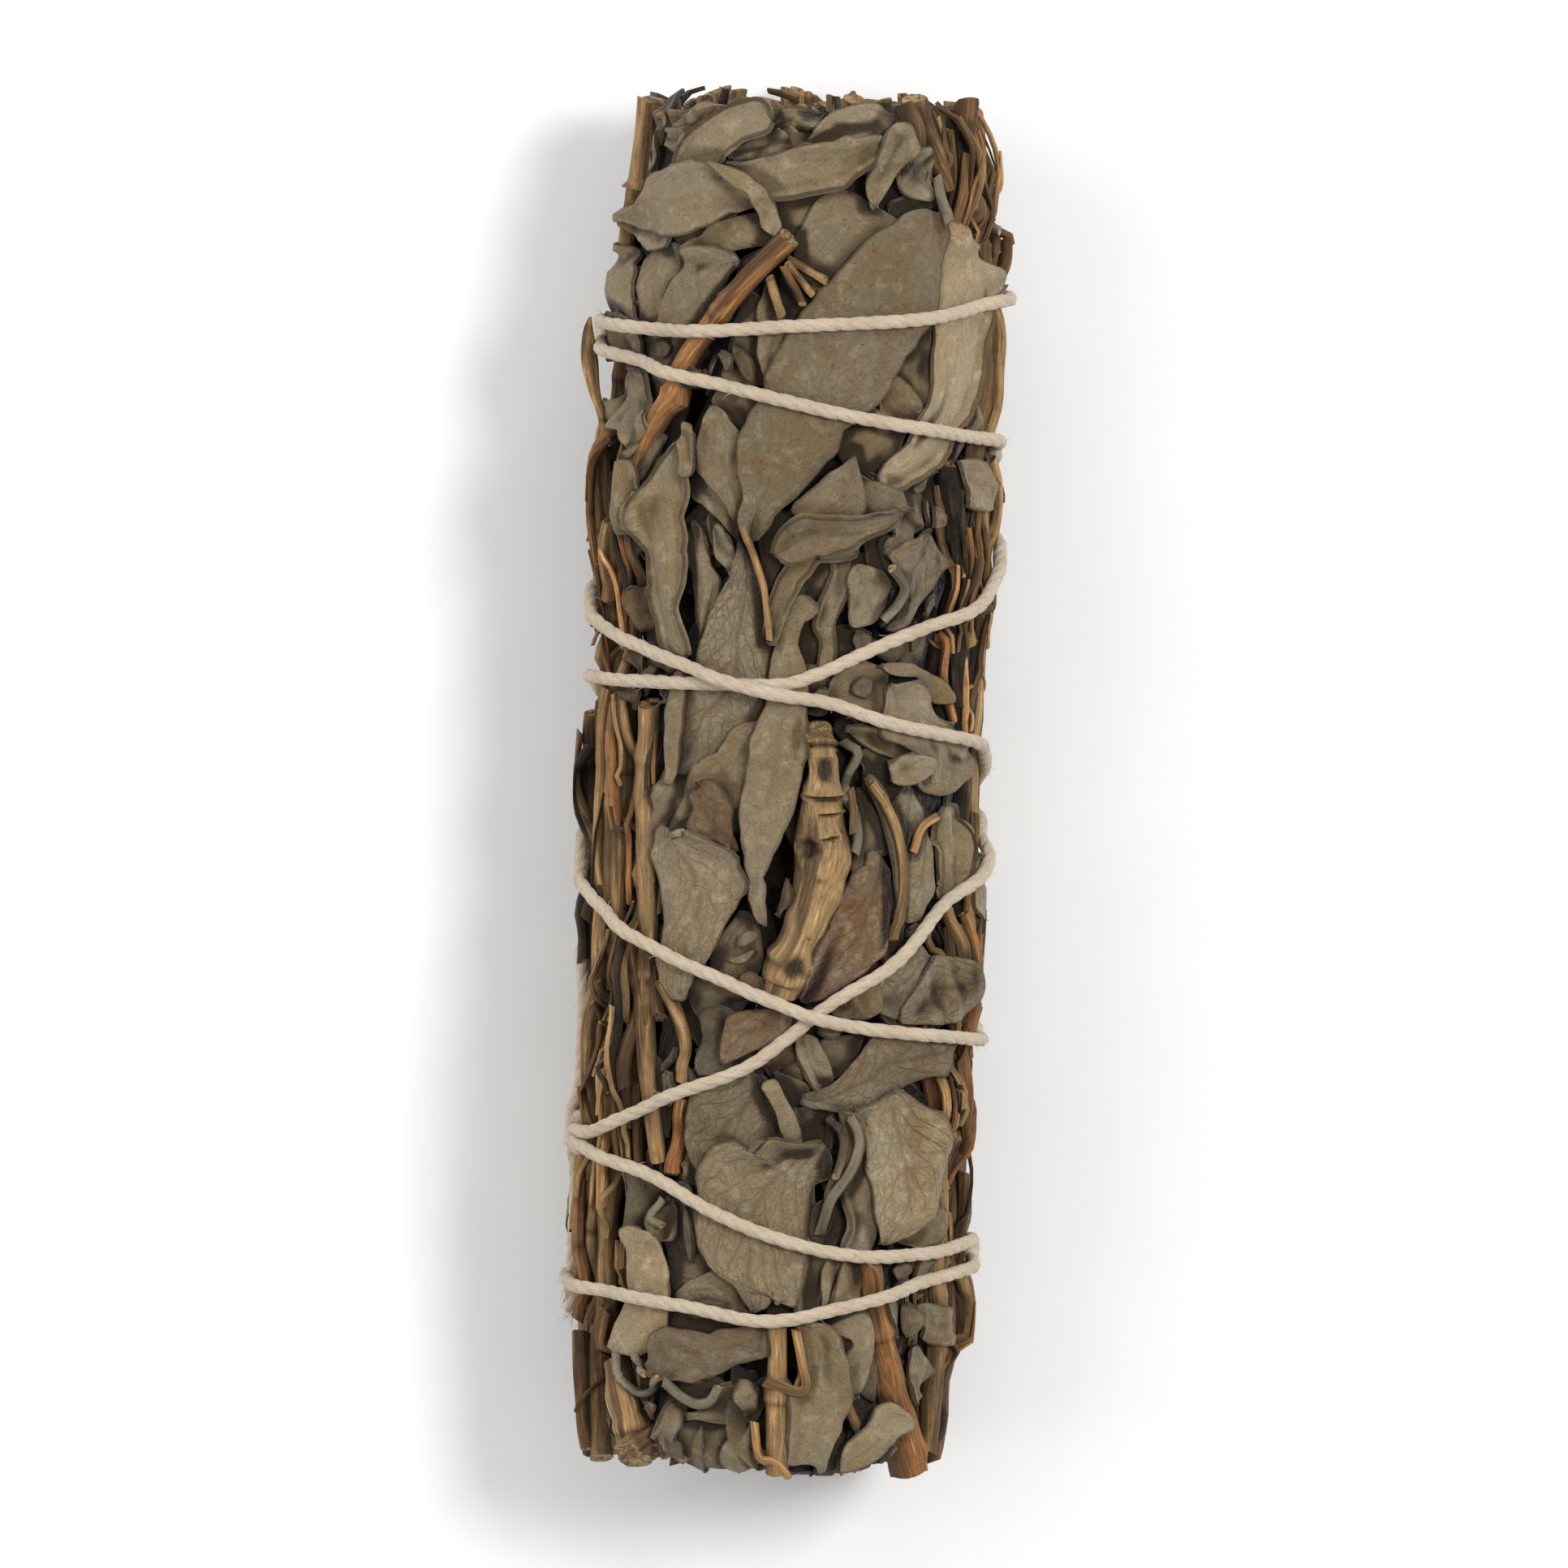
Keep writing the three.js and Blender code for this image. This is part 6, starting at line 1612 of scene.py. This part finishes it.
def makeTwineMaterial():
    material, nodes = newMaterial("cottonTwine")
    crease = nodes.separated(nodes.attribute("twineMix")["Color"])[0]
    place = nodes.attribute("stemPlace")["Vector"]
    streaks = nodes.group(fibreStreaks, Vector=place, Across=7.0, Along=1.1)
    mottle = nodes.group(driedMottle, Vector=nodes.millimetres(), Size=1.3)
    colour = nodes.mix(nodes.ramp(mottle["Blotch"], 0.3, 1, 0, 0.6), twineColours["cotton"],
                       twineColours["cream"])
    colour = nodes.mix(nodes.ramp(streaks["Streak"], 0.15, 0.75, 0.3, 0), colour, twineColours["streak"])
    colour = nodes.mix(nodes.times(mottle["Spot"], 0.35), colour, twineColours["stain"])
    # painted shade in the creases between the plies
    shade = nodes.group(hollowShade, Color=colour, Hollow=crease, Depth=0.4)
    height = nodes.plus(nodes.times(streaks["Streak"], 0.8), nodes.times(mottle["Felt"], 0.3))
    rough = nodes.ramp(streaks["Streak"], 0, 1, 0.75, 0.92)
    finishMaterial(nodes, shade[0], rough, height, 0.1, sheen=0.3, specular=0.2)
    return material


driedLeaf = makeLeafMaterial()
woodyStem = makeStemMaterial("woodyStem", 0.0)
darkBark = makeStemMaterial("darkBark", 0.35)
paintedShadeCore = makeCoreMaterial()
cottonTwine = makeTwineMaterial()
print("materials made")


# the pieces

core = {
    "sides": 96,
    "halfLength": 52,
    "capCuts": 3,
    "lengthCuts": 11,
    "depth": 0.35,            # under the first leaves
    "endWave": 0.9,
}


def makeCore():
    bpy.ops.mesh.primitive_cylinder_add(vertices=core["sides"], radius=1, depth=2, end_fill_type="TRIFAN")
    piece = bpy.context.active_object
    bpy.ops.object.mode_set(mode="EDIT")
    bpy.ops.mesh.select_all(action="SELECT")
    bpy.ops.mesh.subdivide(number_cuts=core["capCuts"])
    bpy.ops.object.mode_set(mode="OBJECT")
    cutUpright(piece, core["lengthCuts"], 0.1)
    start = readPlaces(piece)
    reach = np.minimum(np.hypot(start[:, 0], start[:, 1]), 1)
    angle = np.arctan2(start[:, 0], start[:, 1])
    v = -start[:, 2] * core["halfLength"]
    full = fullness(v)
    wave = 0.35 * np.sin(angle * 13 + v * 0.3) + 0.35 * np.sin(angle * 7 - v * 0.9)
    wave = wave + 0.3 * np.sin(v * 1.7 + angle * 5)
    sink = readMap(blurMap(press, 6), angle * bundle["halfWidth"], v)
    out = bundle["coreRise"] - core["depth"] + 0.5 * wave - endDrop(v) * 0.6 - sink
    ripple = np.sin(start[:, 0] * 9 + start[:, 1] * 14) * np.sin(start[:, 1] * 11 - start[:, 0] * 5)
    onEnd = (np.abs(start[:, 2]) > 0.999) & (reach < 0.97)
    v = v + np.where(onEnd, np.sign(v) * core["endWave"] * ripple, 0)
    x = reach * (bundle["halfWidth"] * full + out) * np.sin(angle) + bundle["shiftX"]
    z = reach * (bundle["halfHeight"] * full + out) * np.cos(angle) + bundle["axisHeight"]
    writePlaces(piece, columns(x, v + bundle["shiftY"], z) * mm)
    smoothOver(piece)
    piece.name = "bunchCore"
    finishPiece(piece, paintedShadeCore, "leaf_bunch")


makeCore()
for group in ("fillerLeaves", "frontLeaves0", "frontLeaves1", "frontLeaves2", "frontLeaves3", "leafCrumbs",
              "underLeaves", "sideLeaves"):
    makeLeaves([leaf for leaf in laidLeaves if leaf["group"] == group], group)

endFolds = {
    "perEnd": 84,
    "nearest": 2.0,           # from the axis, in mm
    "farthest": 12.6,
    "reach": (53.0, 55.3),
    "depth": 7.5,
    "turn": 2.4,              # radians from each to the next
    "seed": 77,
}


def foldEnds():
    # leaves rolled up inside, as their cut edges stand out of the two ends
    rng = np.random.default_rng(endFolds["seed"])
    along, t, s = leafGrid("tiny")
    t, s = t - 0.5, (s + 1) / 2
    grid = (t.shape[0], s.shape[1])
    folds = []
    for end in (1, -1):
        for item in range(endFolds["perEnd"]):
            share = ((item + 0.5) / endFolds["perEnd"]) ** 0.55
            radius = endFolds["nearest"] + (endFolds["farthest"] - endFolds["nearest"]) * share
            sweep = rng.uniform(3, 7.5) / radius
            middle = item * endFolds["turn"] + rng.uniform(-0.4, 0.4)
            tip = rng.uniform(*endFolds["reach"])
            u = (middle + sweep * t) * bundle["halfWidth"] + 0 * s
            curl = 0.9 * softNoise(rng, grid, (7, 4)) * (0.4 + s)
            out = radius + curl + rng.uniform(-3.5, 3.5) * t
            edge = tip - 1.6 * (2 * np.abs(t)) ** 2.5 + 0.5 * softNoise(rng, grid, (8, 2))
            v = end * (edge - endFolds["depth"] * (1 - s))
            height = out - bundle["halfWidth"] * fullness(v)
            # painted shade, darker towards the deep inner part of each fold
            hollow = np.clip(2.2 - 2.3 * s, 0, 1) + 0 * t
            if end < 0:
                u, v, height, hollow = u[:, ::-1], v[:, ::-1], height[:, ::-1], hollow[:, ::-1]
            folds.append({"size": "tiny", "u": u, "v": v, "height": height, "hollow": hollow, "vein": 0.2,
                          "tone": rng.uniform(0.75, 1.15), "brown": rng.uniform(0.1, 0.7),
                          "number": 900 + len(folds)})
    return folds


makeLeaves(foldEnds(), "endFolds")

barkStems = {"bark_right_stem", "left_stem_2", "left_stem_5", "left_stem_8", "right_stem_11"}
looseSides = {"thinStems": 10, "splinters": 6, "leafStalks": 10}
loose = {name: [] for name in looseSides}
for rod in laidRods:
    name = rod["name"]
    if name in loose:
        rod["drop"] = 0.5
        rod["joints"] = name == "thinStems"
        loose[name].append(makeRod(rod, f"{name}{len(loose[name])}", looseSides[name]))
    else:
        piece = makeRod(rod, name.title().replace("_", ""), 36 if name == "knotty_stem" else rodSides)
        smoothOver(piece)
        material, slotName = (darkBark, "dark_bark") if name in barkStems else (woodyStem, "woody_stem")
        finishPiece(piece, material, name)
for name, rods in loose.items():
    piece = joinPieces(rods, name)
    smoothOver(piece)
    finishPiece(piece, woodyStem, "leaf_bunch")


def straightRod(name, x, z, radius, low, high, look, seed, rings, lean=0.0):
    share = np.linspace(0, 1, rings)
    rng = np.random.default_rng(seed)
    bow = np.sin(share * math.pi * rng.uniform(1, 2)) * lean
    path = columns(x + bow, high + (low - high) * share, z + bow * rng.uniform(-1, 1))
    path = path + np.array([bundle["shiftX"], bundle["shiftY"], 0])
    return {"name": name, "path": path, "outward": np.tile([0.0, 0.0, 1.0], (rings, 1)), "radius": radius,
            "length": high - low, "look": look, "seed": seed, "joints": False}


for item, (x, z, radius) in enumerate(innerStems):
    reach = 55.2 - (item % 3) * 0.7
    look = ("tan", "brown", "red")[item % 3]
    name = f"inner_stem_{item + 1}"
    rod = straightRod(name, x, z, radius, -reach, reach, look, seeds["innerStems"] + item, rodRings)
    piece = makeRod(rod, f"InnerStem{item + 1}")
    smoothOver(piece)
    finishPiece(piece, woodyStem, name)

cutEnds = {
    "perEnd": 26,
    "nearest": 2,             # from the axis, in mm
    "spread": 10.5,
    "reach": (53.4, 55.5),
    "length": 8,
    "radii": (0.35, 0.95),
    "looks": ("tan", "brown", "pale", "red"),
    "turn": 2.4,              # radians from each to the next
    "seed": 81,
}


def makeCutEnds():
    # short pieces of stem whose ends show among the rolled leaves
    rng = np.random.default_rng(cutEnds["seed"])
    ends = []
    for end in (1, -1):
        for item in range(cutEnds["perEnd"]):
            away = cutEnds["nearest"] + cutEnds["spread"] * ((item * 0.618 + 0.3) % 1) ** 0.6
            angle = item * cutEnds["turn"] + rng.uniform(-0.3, 0.3)
            x, z = away * math.sin(angle), bundle["axisHeight"] + away * math.cos(angle)
            tip = rng.uniform(*cutEnds["reach"])
            low, high = sorted((end * tip, end * (tip - cutEnds["length"])))
            rod = straightRod("cutEnds", x, z, rng.uniform(*cutEnds["radii"]), low, high,
                              cutEnds["looks"][item % 4], seeds["cutEnds"] + item + 40 * end, 8, lean=0.25)
            ends.append(makeRod(rod, f"cutEnd{len(ends)}", 10))
    return ends


endPiece = joinPieces(makeCutEnds(), "cutEnds")
smoothOver(endPiece)
finishPiece(endPiece, woodyStem, "leaf_bunch")
print("stems made")


# twine as three twisted plies with fine hairs

def twineFrame():
    path = toSpace(twineU, twineV, twineHeight) / mm
    return path, *frameAlong(path, outwardAt(twineU))


def tubeAlong(path, forward, normal, radius, sides, name, phase, creased=False):
    # a round strand laid along the path; radius and phase are given for every ring
    piece = copyOf(rodMaster(sides, len(path)), name)
    aside = np.cross(forward, normal)
    share, turn, reach = readMaster(piece)
    ring = np.round(share * (len(path) - 1)).astype(int)
    wide = reach * radius[ring]
    across, up = wide * np.sin(turn), wide * np.cos(turn)
    writePlaces(piece, (path[ring] + normal[ring] * up[:, None] + aside[ring] * across[:, None]) * mm)
    crease = np.clip((0.25 - np.cos(turn)) / 1.1, 0, 1)          # painted shade where the plies meet
    writeMix(piece, "twineMix", crease * creased, 1, 0, 1)
    writeVectors(piece, "stemPlace", columns(np.cos(turn + phase[ring]) * wide,
                                             np.sin(turn + phase[ring]) * wide, travelled(path)[ring]))
    return piece


def makePly(path, normal, aside, travel, ply, offset, radius, sides, name):
    phase = 2 * math.pi * (travel / twine["pitch"] + ply / twine["plies"])
    centre = path + offset[:, None] * (normal * np.cos(phase)[:, None] + aside * np.sin(phase)[:, None])
    along, out, _ = frameAlong(centre, centre - path)
    return tubeAlong(centre, along, out, radius, sides, f"{name}{ply}", phase, creased=True)


def makeTwine():
    path, forward, normal, aside = twineFrame()
    travel = np.arange(len(path)) * twine["step"]
    flare = np.clip(1 - travel / 2.5, 0, 1)                      # loosened tail at the first end
    pieces = []
    for ply in range(twine["plies"]):
        uneven = 0.025 * np.sin(travel * 0.9 + ply) * np.sin(travel * 0.37)
        radius = twine["plyRadius"] - 0.1 * flare + uneven
        radius[-3:] = radius[-3:] * np.array([0.9, 0.75, 0.5])
        pieces.append(makePly(path, normal, aside, travel, ply, twine["plyOffset"] + 0.45 * flare, radius, 8,
                              "ply"))
    return pieces


hairs = {
    "count": 520,
    "atTail": 90,             # of these, on the loosened tail
    "radii": np.array([0.026, 0.024, 0.02, 0.015, 0.008]),
    "seed": 5,
}


def makeHairs():
    rng = np.random.default_rng(hairs["seed"])
    path, forward, normal, aside = twineFrame()
    pieces = []
    for item in range(hairs["count"]):
        tail = item < hairs["atTail"]
        at = rng.integers(0, 7) if tail else rng.integers(4, len(path))
        side = rng.uniform(0, 2 * math.pi)
        out = normal[at] * math.cos(side) + aside[at] * math.sin(side)
        if not tail and out[2] < -0.85 and path[at][2] < 3:
            continue
        length = rng.uniform(0.8, 2.2) if tail else rng.uniform(0.4, 1.3)
        lead = -forward[at] if tail else forward[at] * rng.choice([-1, 1])
        lift = rng.uniform(0.15, 0.5) if tail else rng.uniform(0.1, 0.5)
        share = np.linspace(0, 1, 5)[:, None]
        curl = np.cross(lead, out) * rng.uniform(-0.6, 0.6)
        curve = path[at] + out * (0.5 + length * lift * share) + lead * length * share * (1 - 0.3 * share)
        curve = curve + curl * length * share ** 2
        curve[:, 2] = np.maximum(curve[:, 2], 0.12)
        curve[:, 0] = np.clip(curve[:, 0], -twine["widest"], twine["widest"])
        along = np.gradient(curve, axis=0)
        along /= np.linalg.norm(along, axis=1)[:, None]
        helper = np.cross(along, lead + 0.01)
        helper /= np.linalg.norm(helper, axis=1)[:, None]
        radius = hairs["radii"] * (1.3 if tail else 1)
        pieces.append(tubeAlong(curve, along, helper, radius, 3, f"hair{item}", np.zeros(5)))
    return pieces


knot = {
    "angle": -87,
    "y": -29.0,
    "rise": 0.3,
    "turns": 2.4,
    "rings": 90,
}


def makeKnot():
    # turns of the twine round the strands at the side
    share = np.linspace(0, 1, knot["rings"])
    place = (unrolled(knot["angle"]), knot["y"], knot["rise"])
    middle = toSpace(*np.array(place)) / mm
    turn = share * 2 * math.pi * knot["turns"]
    bow = 1.05 + 0.15 * np.sin(turn * 1.7)
    path = columns(middle[0] + 0.6 * np.cos(turn) * bow,
                   middle[1] - 1.5 + 3.0 * share + 0.3 * np.sin(turn * 2),
                   middle[2] + 1.15 * np.sin(turn) * bow)
    outward = path - middle
    outward[:, 1] = 0
    forward, normal, aside = frameAlong(path, outward)
    offset = np.full(knot["rings"], twine["plyOffset"])
    radius = np.full(knot["rings"], twine["plyRadius"])
    return [makePly(path, normal, aside, turn, ply, offset, radius, 10, "knot")
            for ply in range(twine["plies"])]


twinePiece = joinPieces(makeTwine() + makeKnot(), "twineStrand")
smoothOver(twinePiece, 80)
finishPiece(twinePiece, cottonTwine, "twine")
hairPiece = joinPieces(makeHairs(), "twineHairs")
finishPiece(hairPiece, cottonTwine, "twine")
print("twine made")

for master in [master for master, order in leafMasters.values()] + list(rodMasters.values()):
    bpy.data.objects.remove(master)


# floor, light and camera

stage = {
    "floorSize": 3.0,
    "distance": 2.4,
    "lean": 3.0,              # degrees
    "roll": 2.13,
    "aim": (-0.045 * mm, -0.35 * mm, 15.1 * mm),
    "lens": 682,
}

bpy.ops.mesh.primitive_plane_add(size=stage["floorSize"], location=(0, 0, 0))
floor = bpy.context.active_object
floor.name = "studioFloor"
floorMaterial, nodes = newMaterial("paleFloor")
speckle = nodes.noise(nodes.add("ShaderNodeTexCoord").outputs["Object"], 60.0, 2.0)
paper = nodes.mix(nodes.ramp(speckle, 0.3, 0.7), linear(250, 250, 249), linear(253, 253, 252))
finishMaterial(nodes, paper, nodes.ramp(speckle, 0.3, 0.7, 0.7, 0.8), speckle, 0.01, specular=0.2)
floor.data.materials.append(floorMaterial)

world = bpy.data.worlds.new("studioAir")
bpy.context.scene.world = world
world.use_nodes = True
world.node_tree.nodes["Background"].inputs[0].default_value = (1.0, 1.0, 1.0, 1)
world.node_tree.nodes["Background"].inputs[1].default_value = 0.46

softBoxes = {                 # place, size, watts
    "keyRight": ((0.42, 0.2, 0.8), 0.24, 4.5),
    "fillLeft": ((-0.6, 0.1, 0.55), 0.7, 2.7),
    "topBack": ((0.0, 0.7, 0.6), 0.5, 1.2),
}
for name, (spot, size, watts) in softBoxes.items():
    bpy.ops.object.light_add(type="AREA", location=spot)
    lamp = bpy.context.active_object
    lamp.name = name
    lamp.data.size = size
    lamp.data.energy = watts
    aimed = np.array(stage["aim"]) - np.array(spot)
    flat = math.hypot(aimed[0], aimed[1])
    lamp.rotation_euler = (math.atan2(flat, -aimed[2]), 0, math.atan2(aimed[1], aimed[0]) - math.pi / 2)

lean = math.radians(stage["lean"])
roll = math.radians(stage["roll"])
away = stage["distance"]
bpy.ops.object.camera_add()
camera = bpy.context.active_object
camera.name = "studioCamera"
camera.data.lens = stage["lens"]
camera.data.sensor_width = 36
camera.data.clip_start = 0.01
camera.location = (stage["aim"][0] - away * math.sin(lean) * math.sin(roll),
                   stage["aim"][1] + away * math.sin(lean) * math.cos(roll),
                   stage["aim"][2] + away * math.cos(lean))
camera.rotation_euler = (-lean, 0, roll)
bpy.context.scene.camera = camera
bpy.context.scene.view_settings.view_transform = "Standard"
